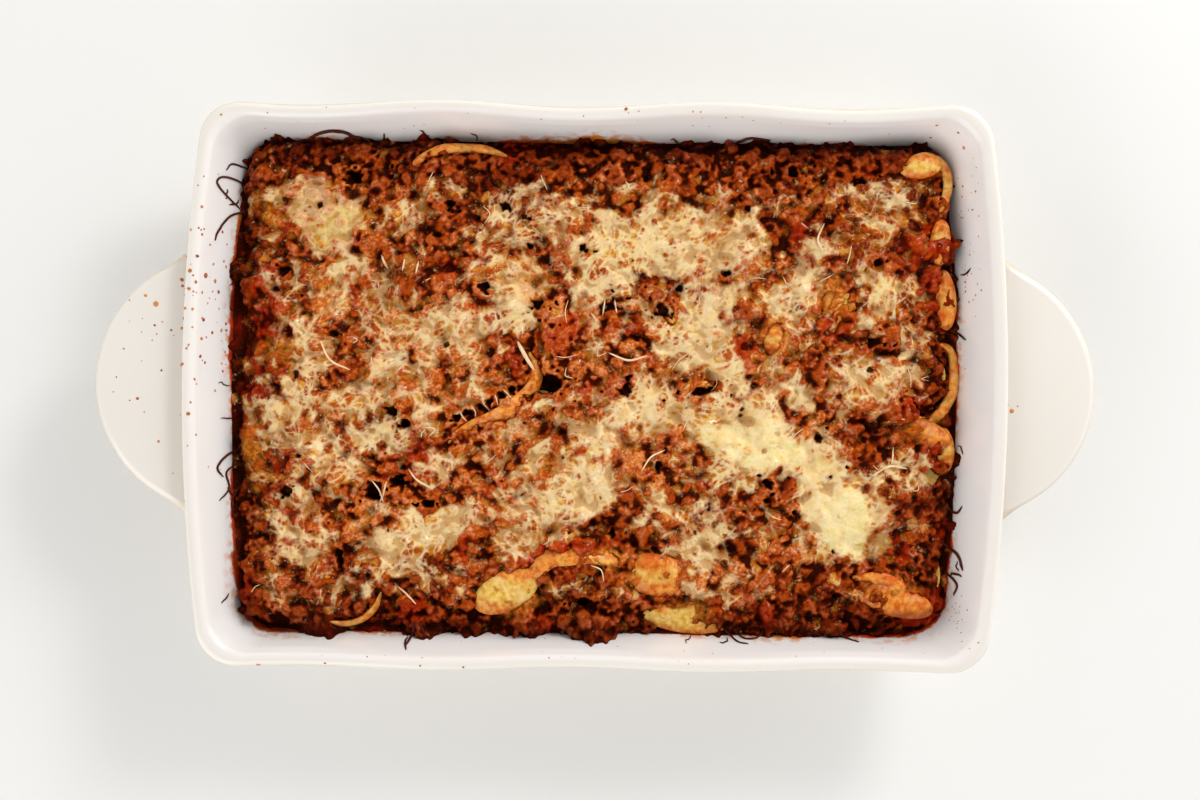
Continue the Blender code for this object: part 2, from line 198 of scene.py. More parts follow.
class Finish(Graph):
    """A material with a Principled shader."""

    def __init__(self, name, roughness=0.5, **fixed):
        self.material = bpy.data.materials.new(name)
        self.material.use_nodes = True
        super().__init__(self.material.node_tree)
        self.shader = self.tree.nodes["Principled BSDF"]
        self.shader.inputs["Roughness"].default_value = roughness
        for socket, value in fixed.items():
            self.shader.inputs[socket.replace("_", " ")].default_value = value

    def attributes(self, *names):
        """The numbers that mark() stored on the mesh."""
        return [self.node("ShaderNodeAttribute", {"attribute_name": name}, {})["Fac"] for name in names]

    def place(self):
        return self.node("ShaderNodeTexCoord", {}, {})["Object"]

    def cloud(self, size, detail=2.0, swirl=0.0):
        """Noise from 0 to 1 whose patches are about size metres wide."""
        inputs = {"Vector": self.place(), "Scale": 1 / size, "Detail": detail, "Distortion": swirl}
        return self.node("ShaderNodeTexNoise", {}, inputs)["Fac"]

    def blend(self, share, *colours):
        """The first colour where share is 0, the second where it is 1. See screen_colour."""
        first, second = (c if isinstance(c, Wire) else screen_colour(*c) for c in colours)
        settings = {"data_type": "RGBA", "clamp_factor": True}
        return self.node("ShaderNodeMix", settings, {0: share, 6: first, 7: second})["Result"]

    def paint(self, base, *coats):
        """Lays coats over a base, each a share and a colour."""
        for share, coat in coats:
            base = self.blend(share, base, coat)
        return base

    def bump(self, height, depth):
        """A normal that tilts as if the surface rose by height times depth, in metres."""
        inputs = {"Height": height, "Distance": depth, "Strength": 1.0}
        return self.node("ShaderNodeBump", {}, inputs)["Normal"]

    def use(self, **wires):
        for socket, value in wires.items():
            self.put(self.shader.inputs[socket.replace("_", " ")], value)
        return self.material


def screen_colour(*channels):
    """A colour as a screen shows it, 0 to 255, in the linear values that shaders use."""
    shares = [channel / 255 for channel in channels]
    return tuple(c / 12.92 if c <= 0.04045 else ((c + 0.055) / 1.055) ** 2.4 for c in shares)


# %% [markdown]
# ## Sky
# A room is brighter round its windows and pale table than at its ceiling. Wet food would
# mirror a bright ceiling as a grey haze, so the sky grows dimmer towards its top.

# %% Sky
world = bpy.data.worlds.new("room_light")
scene.world = world
world.use_nodes = True
sky = Graph(world.node_tree)
lamp_of_sky = world.node_tree.nodes["Background"]
direction = sky.node("ShaderNodeTexCoord", {}, {})["Generated"]
upward = sky.node("ShaderNodeSeparateXYZ", {}, {0: direction})["Z"].limit()
sky.put(lamp_of_sky.inputs["Color"], (1.0, 0.985, 0.965))
sky.put(lamp_of_sky.inputs["Strength"], 1.2 - 1.0 * upward * upward)

# %% [markdown]
# ## Table top
# Only a pale floor. It catches the dish's soft shadow.

# %% Floor
floor_mesh = bmesh.new()
bmesh.ops.create_grid(floor_mesh, x_segments=1, y_segments=1, size=4)
floor_data = bpy.data.meshes.new("floor")
floor_mesh.to_mesh(floor_data)
floor_mesh.free()
floor = add_object("floor", floor_data)
table = Finish("pale_table", 0.6)
floor_data.materials.append(table.use(Base_Color=(0.84, 0.84, 0.83)))


# %% A helper that hands over a finished piece
def finish_piece(bm, name, material, nodes=()):
    """Puts a bmesh in the scene as a piece on the dish, in place of any plain solids named."""
    data = bpy.data.meshes.new(name)
    bm.to_mesh(data)
    bm.free()
    piece = add_object(name, data)
    data.materials.append(material)
    data.shade_smooth()
    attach(piece, "root")
    if nodes:
        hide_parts(*nodes)
    print(name, len(data.polygons), "faces")
    return piece


# %% [markdown]
# ## The dish
# It was pressed or slip-cast in one piece. Its plan is a rounded rectangle whose short sides
# bow out, and the rim wanders a little, as hand-finished stoneware does. A loft through many
# such outlines gives it in one skin: up the inner wall, over the rolled rim, down the outer
# wall and across the base.

# %% The dish's measures
HEIGHT = dish_high.z
INNER_X, INNER_Y = 159.5 * MM, 114.5 * MM
CORNER, CORNER_SHARE = 15 * MM, 0.1
END_BOW = 9 * MM
FLARE = 0.40
WALL = 5.3 * MM
FLOOR = meat_low.z - 0.35 * MM
FLOOR_FILLET = 9 * MM
RIM_WAVE_NORTH, RIM_WAVE_SOUTH, RIM_WAVE_RISE = 1.6 * MM, 0.8 * MM, 0.8 * MM
RIM_WAVE_LENGTH, RIM_CREST_X = 115 * MM, -66 * MM
HANDLE_REACH, HANDLE_RADIUS = dish_high.x, 55 * MM
HANDLE_TOP, HANDLE_THICKNESS, HANDLE_EDGE = 55 * MM, 9 * MM, 3.4 * MM
HANDLE_ROOT, HANDLE_SPREAD = 166 * MM, 5 * MM  # where it enters the wall, how much wider there
LONG_STEPS, SHORT_STEPS, CORNER_STEPS = 44, 28, 12


def wall_offset(height):
    """How far the inner wall lies outside the mouth's outline at a height."""
    return -FLARE * (HEIGHT - height)


def rim_wave(x):
    return math.cos(2 * math.pi * (x - RIM_CREST_X) / RIM_WAVE_LENGTH) - 1


def plan_outline(half_x, half_y, corner):
    """Points round a rounded rectangle, anticlockwise."""
    points = []
    sides = ((half_x - corner, half_y, LONG_STEPS), (half_y - corner, half_x, SHORT_STEPS))
    for quarter in range(4):
        half_run, reach, steps = sides[quarter % 2]
        turn = Matrix.Rotation(quarter * math.pi / 2, 2)
        for step in range(steps):
            points.append(turn @ Vector((half_run * (2 * step / steps - 1), -reach)))
        for step in range(CORNER_STEPS):
            angle = math.pi / 2 * (step / CORNER_STEPS - 1)
            arc = Vector((math.cos(angle), math.sin(angle))) * corner
            points.append(turn @ (Vector((half_run, corner - reach)) + arc))
    return points


def shape_plan(x, y, half_x, half_y, height, rise=0.0):
    """Bows the ends and lets the long sides wander, more so towards the rim."""
    share = height / HEIGHT
    wander = rim_wave(x) * share**4 * (abs(y) / half_y) ** 6
    wave = RIM_WAVE_NORTH if y > 0 else RIM_WAVE_SOUTH
    bow = END_BOW * share**1.5 * (1 - min(1, abs(y) / half_y) ** 2)
    return Vector((x * (1 + bow / half_x), y * (1 + wave * wander / half_y), height + rise * wander))


def dish_ring(offset, height, rise=0.0):
    half_x, half_y = INNER_X + offset, INNER_Y + offset
    outline = plan_outline(half_x, half_y, CORNER + CORNER_SHARE * offset)
    return [shape_plan(x, y, half_x, half_y, height, rise) for x, y in outline]


def rounded(start, corner, end, steps):
    """Points along a quadratic curve from start towards end, without the end itself."""
    for step in range(steps):
        t = step / steps
        yield start * (1 - t) ** 2 + corner * 2 * t * (1 - t) + end * t**2


def loft(rings):
    """A closed skin through rings of points, each ring made from a circle."""
    bm = bmesh.new()
    loops = []
    for ring in rings:
        made = bmesh.ops.create_circle(bm, segments=len(ring), radius=1)["verts"]
        for vert, point in zip(made, ring):
            vert.co = point
        loops.append(list({edge for vert in made for edge in vert.link_edges}))
    for lower, upper in zip(loops, loops[1:]):
        bmesh.ops.bridge_loops(bm, edges=lower + upper)
    for cap in (loops[0], loops[-1]):
        bmesh.ops.edgeloop_fill(bm, edges=cap)
    bmesh.ops.recalc_face_normals(bm, faces=bm.faces)
    return bm


# %% Loft the dish
profile = []  # offset, height and how much of the rim's rise and fall each ring takes
floor_edge = Vector((wall_offset(FLOOR) - FLOOR_FILLET, FLOOR))
floor_corner = Vector((wall_offset(FLOOR), FLOOR))
wall_foot = Vector((wall_offset(FLOOR + FLOOR_FILLET), FLOOR + FLOOR_FILLET))
profile += [(*point, 0) for point in rounded(floor_edge, floor_corner, wall_foot, 5)]
for height in (17, 24, 31, 37, 40, 42, 44, 46, 48, 50, 52, 54, 56, 58.5):
    profile.append((wall_offset(height * MM), height * MM, 0))
INNER_RINGS = len(profile)
wall_top = Vector((wall_offset(60.6 * MM), 60.6 * MM))
rim_top, rim_out = Vector((2.4 * MM, HEIGHT)), Vector((5.0 * MM, HEIGHT - 3.4 * MM))
under_rim = Vector((wall_offset(56 * MM) + WALL, 56 * MM))
over_rim = [*rounded(wall_top, Vector((0, HEIGHT)), rim_top, 8)]
over_rim += rounded(rim_top, Vector((rim_out.x, HEIGHT)), rim_out, 7)
profile += [(*point, RIM_WAVE_RISE) for point in over_rim]
OUTER_RING = len(profile)
tucked = Vector((4.9 * MM, 57.2 * MM))
profile += [(*point, RIM_WAVE_RISE * 0.5) for point in rounded(rim_out, tucked, under_rim, 4)]
for height in (55, 48, 40, 30, 20, 12, 8):
    profile.append((wall_offset(height * MM) + WALL, height * MM, 0))
base_low, base_tuck = 2 * MM, 2.3 * MM
profile.append((wall_offset(base_low) + WALL - base_tuck, base_low, 0))
profile.append((wall_offset(0) + WALL - 2 * base_tuck, 0, 0))
dish_bm = loft([dish_ring(*place) for place in profile])

# %% [markdown]
# The glaze is glossy and nearly white. It runs thin over the rim's edge, where the warm clay
# shows through, and sauce has stained the inner wall in a ragged line just above the food. A
# stain is a colour that depends on the height and on where round the dish it is, so it comes
# from the object's coordinates and not from more geometry. The food shrank as it baked and
# sank at its edges, most along the back and the right, and the stain's line follows it down.


# %% Glaze
SUNK = (  # axis, side, from and to in mm, how far the food's edge has sunk at that wall in mm
    ("Y", 1, 55, 95, 6),
    ("X", 1, 115, 150, 4),
    ("X", -1, 115, 150, 3),
    ("Y", -1, 60, 95, 2.5),
)
MOST_SUNK = 6


def glaze_material():
    glaze = Finish("white_glaze", 0.12, Coat_Weight=0.3, Coat_Roughness=0.04, IOR=1.5)
    place = glaze.node("ShaderNodeSeparateXYZ", {}, {0: glaze.place()})
    height = place["Z"] * 1000
    sunk = 0
    for axis, side, low, high, deep in SUNK:
        sunk = sunk + (place[axis] * (1000 * side)).step(low, high) * deep
    sunk = (sunk / MOST_SUNK).limit() * MOST_SUNK
    inside, reach, hue, thin = glaze.attributes("inner_wall", "sauce_reach", "sauce_hue", "thin_glaze")
    rim = (thin * (0.35 + 0.9 * glaze.cloud(0.012, 3))).limit()
    ragged = glaze.cloud(0.016, 4) * 9 - 4.5 + glaze.cloud(0.003, 3) * 5 - 2.5
    above = (height + sunk - 43.4 - ragged * (0.1 + reach * 0.14)) / (reach * 1.15 + 0.3)
    stain = (1 - above.step(0.55, 0.8)) * inside
    film = (1 - above.step(0.7, 1.7)) * inside * glaze.cloud(0.004, 4).step(0.42, 0.62) * 0.7
    red = glaze.blend(glaze.cloud(0.006, 3).step(0.35, 0.65), (140, 18, 2), (214, 52, 6))
    orange = glaze.blend(glaze.cloud(0.005, 3).step(0.35, 0.65), (202, 92, 10), (226, 150, 46))
    burnt = (1 - above.step(0.0, 0.45)) * glaze.cloud(0.009, 4).step(0.40, 0.58)
    sauce = glaze.paint(red, (hue, orange), (burnt, (52, 14, 5)))
    white = glaze.blend(glaze.cloud(0.05, 3), (230, 224, 216), (235, 230, 223))
    # The inner wall is painted a lighter, cooler white than the outside: painted light that lifts the
    # shade and the food's warm bounce inside the dish.
    coats = ((inside, (235, 233, 232)), (rim, (206, 182, 148)), (film, (222, 142, 76)), (stain, sauce))
    colour = glaze.paint(white, *coats)
    dimple = glaze.bump(glaze.cloud(0.018, 1), 0.0002)
    return glaze.use(Base_Color=colour, Roughness=0.12 + 0.2 * stain, Normal=dimple)


white_glaze = glaze_material()


def mark(data, name, values):
    """Stores one number per vertex for a finish to read."""
    layer = data.attributes.new(name, "FLOAT", "POINT")
    layer.data.foreach_set("value", np.asarray(values, np.float32))


def places(data):
    """The vertices' places as an array of rows."""
    flat = np.empty(len(data.vertices) * 3, np.float32)
    data.vertices.foreach_get("co", flat)
    return flat.reshape(-1, 3).astype(float)


dish = finish_piece(dish_bm, "dish_body", white_glaze, ["dish"])
RING = 2 * (LONG_STEPS + SHORT_STEPS) + 4 * CORNER_STEPS
ring_of = np.arange(len(dish.data.vertices)) // RING
heights = places(dish.data)[:, 2] / MM
mark(dish.data, "thin_glaze", np.clip(1 - np.abs(ring_of - OUTER_RING + 0.5) / 3, 0, 1))
mark(dish.data, "inner_wall", (ring_of < INNER_RINGS + 8) * np.clip((65.5 - heights) / 5, 0, 1))

# %% Where sauce climbed the wall
CLIMBED = (  # x, y, half length in mm, how high it reached in mm, hue from red to orange
    (-157, 24, 30, 4.6, 0.1), (-157, -50, 12, 4.0, 0.1), (-157, -84, 17, 7.5, 0.1),
    (-134, -106, 22, 7.0, 0.2), (-80, -107, 20, 3.5, 0.25), (-24, -107, 24, 2.5, 0.3),
    (45, -108, 12, 3.0, 0.4), (78, -108, 14, 6.0, 0.85), (130, -107, 22, 6.5, 0.15),
    (156, -78, 22, 4.0, 0.1), (157, 18, 30, 3.5, 0.15), (-118, 107, 10, 7.0, 0.4),
    (-4, 107, 24, 9.0, 0.85), (-30, 107, 9, 6.5, 0.5), (88, 107, 26, 4.0, 0.15),
    (-157, 74, 12, 5.0, 0.6),
)
wall_spots = places(dish.data) / MM
reach, hue = np.full(len(wall_spots), 0.9), np.full(len(wall_spots), 0.1)
for x, y, half, high, tint in CLIMBED:
    close = np.exp(-0.5 * (np.hypot(wall_spots[:, 0] - x, wall_spots[:, 1] - y) / (half * 0.75)) ** 2)
    hue += (tint - hue) * close
    reach += (high - reach) * close
mark(dish.data, "sauce_reach", reach)
mark(dish.data, "sauce_hue", hue)

# %% [markdown]
# The two handles are flat half discs. Each sits in the wall a little way below the rim, which
# hides the joint from above, so a handle can be its own piece that ends inside the wall.


# %% Handles
def make_handle(side):
    bm = bmesh.new()
    steps = 56
    made = bmesh.ops.create_circle(bm, cap_ends=True, segments=steps + 1, radius=1)["verts"]
    middle = HANDLE_REACH - HANDLE_RADIUS
    root = math.acos((HANDLE_ROOT - middle) / HANDLE_RADIUS)
    for step, vert in enumerate(made):
        angle = root * (2 * step / steps - 1)
        x = middle + HANDLE_RADIUS * math.cos(angle)
        y = HANDLE_RADIUS * math.sin(angle)
        spread = min(1, max(0, (183 * MM - x) / (13 * MM))) ** 2 * HANDLE_SPREAD
        vert.co = (side * x, y + math.copysign(spread, y), HANDLE_TOP - HANDLE_THICKNESS)
    raised = bmesh.ops.extrude_face_region(bm, geom=bm.faces[:])["geom"]
    lifted = [item for item in raised if isinstance(item, bmesh.types.BMVert)]
    bmesh.ops.translate(bm, vec=(0, 0, HANDLE_THICKNESS), verts=lifted)
    bmesh.ops.recalc_face_normals(bm, faces=bm.faces)
    edges = [edge for edge in bm.edges if edge.calc_face_angle(0) > 1]
    round_off = {"offset": HANDLE_EDGE, "offset_type": "OFFSET", "segments": 6, "profile": 0.5}
    bmesh.ops.bevel(bm, geom=edges, affect="EDGES", material=-1, **round_off)
    bmesh.ops.triangulate(bm, faces=[face for face in bm.faces if len(face.verts) > 4])
    name = "handle_east" if side > 0 else "handle_west"
    handle = finish_piece(bm, name, white_glaze)
    spot = places(handle.data)
    reach = np.hypot(np.abs(spot[:, 0]) - middle, spot[:, 1]) / HANDLE_RADIUS
    top = np.clip((spot[:, 2] / MM - 49) / 3, 0, 1)
    mark(handle.data, "thin_glaze", np.clip((reach - 0.975) / 0.025, 0, 1) * top * 0.8)
    handle.data.set_sharp_from_angle(angle=math.radians(40))


make_handle(1)
make_handle(-1)

# %% [markdown]
# ## The lie of the food
# The plain solids already hold the bed of sauce, the shells and the pools of cheese. Rays
# dropped on them from above read their height at every spot of a lattice, which is then
# smoothed. Everything finer is added to that.

# %% A lattice over the food
PITCH = 0.5 * MM
WALL_LEVEL = 44 * MM  # where the food meets the wall
FOOD_CORNER, FOOD_TOP = 16 * MM, 46 * MM
HALF_X = INNER_X + wall_offset(WALL_LEVEL) + 0.4 * MM
HALF_Y = INNER_Y + wall_offset(WALL_LEVEL) + 0.4 * MM
COLUMNS, ROWS = round(2 * HALF_X / PITCH) + 1, round(2 * HALF_Y / PITCH) + 1
across = np.linspace(-HALF_X, HALF_X, COLUMNS)
along = np.linspace(-HALF_Y, HALF_Y, ROWS)
X, Y = np.meshgrid(across, along)
draw = np.random.default_rng(11)
print("lattice", COLUMNS, "by", ROWS)


def blurred(field, radius):
    """The field smoothed by a Gaussian of that radius in metres. Its edges are mirrored."""
    reach = int(math.ceil(3 * radius / PITCH))
    steps = np.arange(-reach, reach + 1) * PITCH
    weights = np.exp(-0.5 * (steps / radius) ** 2)
    weights /= weights.sum()
    for axis in (0, 1):
        pad = [(reach, reach) if axis == a else (0, 0) for a in (0, 1)]
        wide = np.pad(field, pad, mode="reflect")
        long = wide.shape[axis] + 2 * reach + 1
        spectrum = np.fft.rfft(wide, n=long, axis=axis)
        kernel = np.fft.rfft(weights, n=long)
        spectrum *= kernel[:, None] if axis == 0 else kernel[None, :]
        full = np.fft.irfft(spectrum, n=long, axis=axis)
        keep = slice(2 * reach, 2 * reach + field.shape[axis])
        field = full[keep, :] if axis == 0 else full[:, keep]
    return field


def wander(size, seed):
    """Smooth random hills about size metres wide, with a mean of 0 and a spread of 1."""
    hills = blurred(np.random.default_rng(seed).standard_normal(X.shape), size / 2.5)
    return (hills - hills.mean()) / hills.std()


def ease(low, high, value):
    """0 below low, 1 above high and a soft slope between them."""
    t = np.clip((value - low) / (high - low), 0, 1)
    return t * t * (3 - 2 * t)


def to_plan(x, y, z):
    """Moves points of the square lattice to the dish's own plan at their height."""
    a = np.clip((np.abs(x) - HALF_X + FOOD_CORNER) / FOOD_CORNER, 0, 1)
    b = np.clip((np.abs(y) - HALF_Y + FOOD_CORNER) / FOOD_CORNER, 0, 1)
    pull_x = (a - a * np.sqrt(1 - b * b / 2)) * FOOD_CORNER
    pull_y = (b - b * np.sqrt(1 - a * a / 2)) * FOOD_CORNER
    x = x - np.sign(x) * pull_x
    y = y - np.sign(y) * pull_y
    near = ease(0.93, 1.0, np.maximum(np.abs(x) / HALF_X, np.abs(y) / HALF_Y))
    spread = FLARE * (z - WALL_LEVEL) * near
    x = x + np.sign(x) * spread * (np.abs(x) / HALF_X > 0.9)
    y = y + np.sign(y) * spread * (np.abs(y) / HALF_Y > 0.9)
    share = z / HEIGHT
    bow = END_BOW * share**1.5 * (1 - np.minimum(1, np.abs(y) / HALF_Y) ** 2)
    wave = np.where(y > 0, RIM_WAVE_NORTH, RIM_WAVE_SOUTH)
    swing = (np.cos(2 * np.pi * (x - RIM_CREST_X) / RIM_WAVE_LENGTH) - 1) * share**4
    swing *= np.minimum(1, np.abs(y) / HALF_Y) ** 6
    return x * (1 + bow / HALF_X), y * (1 + wave * swing / HALF_Y)


def to_lattice(x, y):
    """The lattice's point for a place in the dish: to_plan the other way round."""
    u, v = x, y
    for _ in range(4):
        moved_x, moved_y = to_plan(u, v, FOOD_TOP)
        u, v = u + x - moved_x, v + y - moved_y
    return u, v


PLAN_X, PLAN_Y = to_plan(X, Y, FOOD_TOP)
RAGGED = wander(7 * MM, 3)
FRAYED = wander(3 * MM, 4)


def turned(x, y, angle):
    """x and y as axes turned by an angle in radians see them."""
    c, s = math.cos(angle), math.sin(angle)
    return x * c + y * s, y * c - x * s


def ellipse(x, y, a, b, turn):
    """0 at an ellipse's middle, 1 on its outline. Places and sizes in mm, turn in degrees."""
    u, v = turned(PLAN_X / MM - x, PLAN_Y / MM - y, math.radians(turn))
    return np.hypot(u / a, v / b)


def spot(x, y, a, b, turn=0.0, soft=0.7):
    """1 inside an ellipse with a ragged edge, 0 outside."""
    return 1 - ease(1 - soft / 2, 1 + soft / 2, ellipse(x, y, a, b, turn) + 0.17 * RAGGED + 0.08 * FRAYED)


# %% Drop rays on the solids
DOWN = Vector((0, 0, -1))


def ray_target(meshes):
    """All the faces of some meshes, for rays to hit."""
    corners, faces = [], []
    for data in meshes:
        faces += [[index + len(corners) for index in face.vertices] for face in data.polygons]
        corners += [vert.co[:] for vert in data.vertices]
    return BVHTree.FromPolygons(corners, faces)


tree = ray_target(frame["nodes"][name].data for name in ["meat_sauce", *shells, *pools])
COARSE = 1.5 * MM
LEAST_BED, SAUCE_LEVEL = 38 * MM, 41 * MM  # a ray that goes deeper has missed the food
coarse_x = np.arange(-HALF_X, HALF_X + COARSE, COARSE)
coarse_y = np.arange(-HALF_Y, HALF_Y + COARSE, COARSE)
solid = np.empty((len(coarse_y), len(coarse_x)))
for row, y in enumerate(coarse_y):
    placed_x, placed_y = to_plan(coarse_x, np.full_like(coarse_x, y), FOOD_TOP)
    for column, (x, y) in enumerate(zip(placed_x * 0.988, placed_y * 0.984)):
        hit = tree.ray_cast(Vector((x, y, 0.1)), DOWN)[0]
        solid[row, column] = hit.z if hit and hit.z > LEAST_BED else SAUCE_LEVEL


def read(field, x, y, pitch_x=None, pitch_y=None):
    """The field's value between the points of its lattice."""
    rows, columns = field.shape
    column = np.clip((x + HALF_X) / (pitch_x or 2 * HALF_X / (columns - 1)), 0, columns - 1.001)
    row = np.clip((y + HALF_Y) / (pitch_y or 2 * HALF_Y / (rows - 1)), 0, rows - 1.001)
    c, r = column.astype(int), row.astype(int)
    u, v = column - c, row - r
    top = field[r, c] * (1 - u) + field[r, c + 1] * u
    low = field[r + 1, c] * (1 - u) + field[r + 1, c + 1] * u
    return top * (1 - v) + low * v


shy = 6 * MM  # the solids fall away close to the wall, and the crust doesn't
inner = np.clip(X, shy - HALF_X, HALF_X - shy), np.clip(Y, shy - HALF_Y, HALF_Y - shy)
bed = blurred(read(solid, *inner, COARSE, COARSE), 1.6 * MM)
to_wall = np.minimum(HALF_X - np.abs(X), HALF_Y - np.abs(Y))
print("bed from", round(bed.min() / MM, 1), "to", round(bed.max() / MM, 1), "mm")

# %% [markdown]
# ## Where the pasta shows
# A few of the shells' lips and backs come through the crust. Their places come first, since
# the cheese and the holes depend on them.

# %% Lips and bulges
LIPS = (  # shell, crest's thickness, apron, gap behind it, side of the gap, path in mm
    ("shell_north", 2.6, 1.8, 0.7, -1, ((-80, 90), (-73, 96), (-62, 99.5),
     (-48, 99.5), (-38, 97))),
    ("shell_centre_left", 3.0, 3.6, 0, 1, ((-63, -25), (-58, -20), (-52, -16.2), (-46, -13.6),
     (-38, -9), (-31, -3.5), (-27, 2), (-26, 9), (-29, 15))),
    ("shell_south_middle", 4.4, 4.4, 0, -1, ((-29, -85), (-24, -80), (-17, -75),
     (-6, -73.5), (4, -74), (12, -76))),
    ("shell_south_west", 1.6, 1.6, 0.8, 1, ((-112, -101), (-105, -101.5),
     (-98, -99), (-93, -94), (-90, -88))),
    ("shell_south_east", 3.6, 3.0, 0, 1, ((110, -80.5), (118, -79.5), (126, -81), (133, -87),
     (138, -92), (144, -93.5))),
    ("shell_east_middle", 2.8, 2.2, 1.3, 1, ((130, -6.5), (135, -11), (141, -13.3), (147, -9.5),
     (151.5, -2), (152.8, 8), (151.5, 16), (147, 19))),
    ("shell_north_east", 3.0, 2.0, 0.8, -1, ((128, 93), (134, 96), (140, 97.3),
     (146, 95), (148.8, 88), (147.5, 80), (145, 73))),
    ("shell_centre_right", 2.0, 1.2, 0, -1, ((36, -3.4), (40, -0.2), (45, 1.2), (51, 0.6))),
    ("shell_centre_top", 1.2, 1.0, 0.4, 1, ((30, 30), (33, 28), (34, 33), (31, 37))),
)
# A bulge's stain grows towards its rim and sides, and past 1 it is painted shade: the bulge goes brown
# where it dips into the crust.
BULGES = (  # shell, x, y, half length, half width in mm, turn in degrees, rise in mm, stain
    ("shell_south_middle", -37, -87.5, 15, 8.5, 27, 1.9, 0.1),
    ("shell_south_east", 127, -89.5, 18, 7, -16, 2.3, 0.8),
    ("shell_east_upper", 149, 38, 5, 13, 4, 0.6, 0.5),
    ("shell_east_upper", 105, 38, 8, 12, -25, 0.4, 0.55),
    ("shell_east_middle", 140, -19, 12, 6, -20, 1.0, 0.75),
    ("shell_east_lower", 149, -26, 5, 10, 4, 0.6, 0.45),
    ("shell_north_east", 146, 62, 4.4, 10, -4, 0.5, 0.5),
    ("shell_north_east", 137, 94, 9, 5, 6, 0.8, 0.3),
    ("shell_right", 76, 21, 7, 4, 75, 0.1, 0.45),
    ("shell_south_right", 27, -80.5, 17, 9, -12, 0.9, 0.5),
    ("shell_south_right", 40, -98.5, 20, 7, -6, 1.0, 0.2),
)


def smooth_path(points, steps, unit=1):
    """A curve through the points, as Catmull and Rom draw it."""
    points = [Vector(point) * unit for point in points]
    ends = [points[0] * 2 - points[1], *points, points[-1] * 2 - points[-2]]
    curve = []
    for a, b, c, d in zip(ends, ends[1:], ends[2:], ends[3:]):
        for step in range(steps):
            t = step / steps
            square, cube = 2 * a - 5 * b + 4 * c - d, 3 * b - a - 3 * c + d
            curve.append(0.5 * (2 * b + (c - a) * t + square * t**2 + cube * t**3))
    return [*curve, points[-1]]


# %% [markdown]
# ## Where there is cheese, where there is none
# The cook strewed the cheese by hand. It lies thick in a few pools, thin over most of the
# rest and is missing along the walls, where dark sauce shows. One map says how much lies
# where: places named in a table, plus random patches.

# %% Cheese map
CHEESY = (  # x, y, half length, half width in mm, turn in degrees, amount
    (66, -25, 24, 13, -12, 1.35), (104, -58, 19, 14, -20, 1.6), (90, -34, 16, 9, -30, 1.2),
    (25, -8, 17, 12, 10, 1.1), (42, 22, 20, 12, -38, 1.0), (-32, 34, 11, 8, -50, 1.15),
    (18, 62, 30, 12, 4, 1.05), (4, 46, 12, 9, 0, 0.95), (-5, -45, 14, 11, 30, 1.05),
    (-72, -64, 22, 9, 18, 1.05), (-116, 70, 17, 14, -30, 1.05), (56, 60, 16, 8, 12, 0.95),
    (58, 6, 11, 10, 0, 0.8), (-18, 71, 14, 6, 20, 0.9), (-40, 48, 13, 7, 0, 0.85),
    (49, -69, 12, 8, 30, 0.95), (-58, 27, 19, 9, 12, 0.8), (3, -23, 14, 8, 0, 0.85),
    (-86, 24, 12, 12, 20, 0.75), (118, 43, 9, 11, 40, 0.8), (-47, 62, 9, 6, 0, 0.7),
    (-124, -14, 12, 15, 20, 0.75), (113, 3, 13, 9, 15, 0.85), (84, 40, 14, 7, 35, 0.75),
    (-10, -81, 10, 6, 10, 0.7), (-88, -76, 12, 6, 10, 0.65), (-119, 14, 8, 13, 10, 0.75),
    (-106, 48, 12, 7, 40, 0.7), (-83, 71, 10, 7, 10, 0.7), (-92, -22, 14, 8, -20, 0.7),
    (-128, -68, 12, 12, 0, 0.75), (-106, -40, 12, 9, 0, 0.65), (118, 72, 12, 10, 0, 0.7),
    (96, 60, 12, 8, 0, 0.6), (-30, -62, 12, 7, 20, 0.75), (-62, -30, 10, 6, 0, 0.6),
    (130, 6, 10, 12, 0, 0.55), (20, 82, 16, 5, 0, 0.5),
)
BARE = (
    (-16, 16, 12, 14, 20, 0.95), (-20, -1, 8, 5, 10, 1.0), (-62, 64, 14, 12, 0, 0.6),
    (-93, -44, 12, 6, 10, 0.9), (77, -43, 8, 8, 0, 1.0), (116, -27, 11, 8, -20, 0.95),
    (66, 20, 7, 12, 0, 0.75), (-57, -41, 12, 6, 10, 0.8), (-52, -78, 16, 9, 10, 0.7),
    (-60, -96, 26, 7, 0, 0.9), (65, -71, 9, 7, 0, 0.85), (122, 19, 9, 7, 0, 0.9),
    (93, 6, 6, 10, 10, 0.8), (100, 70, 14, 6, 0, 0.7), (79, 72, 8, 6, 0, 0.7),
    (-106, -72, 7, 8, 0, 0.7), (-128, 54, 9, 7, 0, 0.6), (-110, -56, 12, 5, 0, 0.6),
    (20, -66, 12, 7, 0, 0.8), (-9, -95, 24, 8, 0, 0.9), (84, -86, 18, 10, 0, 0.8),
    (-70, 10, 10, 5, 0, 0.5), (-98, 92, 20, 12, 0, 0.9), (-20, 94, 60, 9, 0, 1.0),
    (60, 96, 60, 10, 0, 0.9),
)
cover = np.clip(0.34 + 0.13 * wander(24 * MM, 21) + 0.13 * wander(9 * MM, 22), 0.05, 1)
for x, y, a, b, turn, amount in CHEESY:
    there = spot(x, y, a, b, turn)
    cover = cover + np.maximum(amount - cover, 0) * there
for x, y, a, b, turn, amount in BARE:
    cover *= 1 - amount * spot(x, y, a, b, turn)
margin = to_wall / MM - 8 - 3.0 * RAGGED  # how far inside the bare strip along the walls
margin = margin - 8 * ease(70, 98, Y / MM) - 5 * ease(-80, -98, Y / MM) - 8 * ease(125, 145, X / MM)
inner = ease(-5, 8, margin)
even = 0.53 + 0.6 * (np.minimum(cover, 1) - 0.6) + 1.7 * np.maximum(cover - 1, 0)
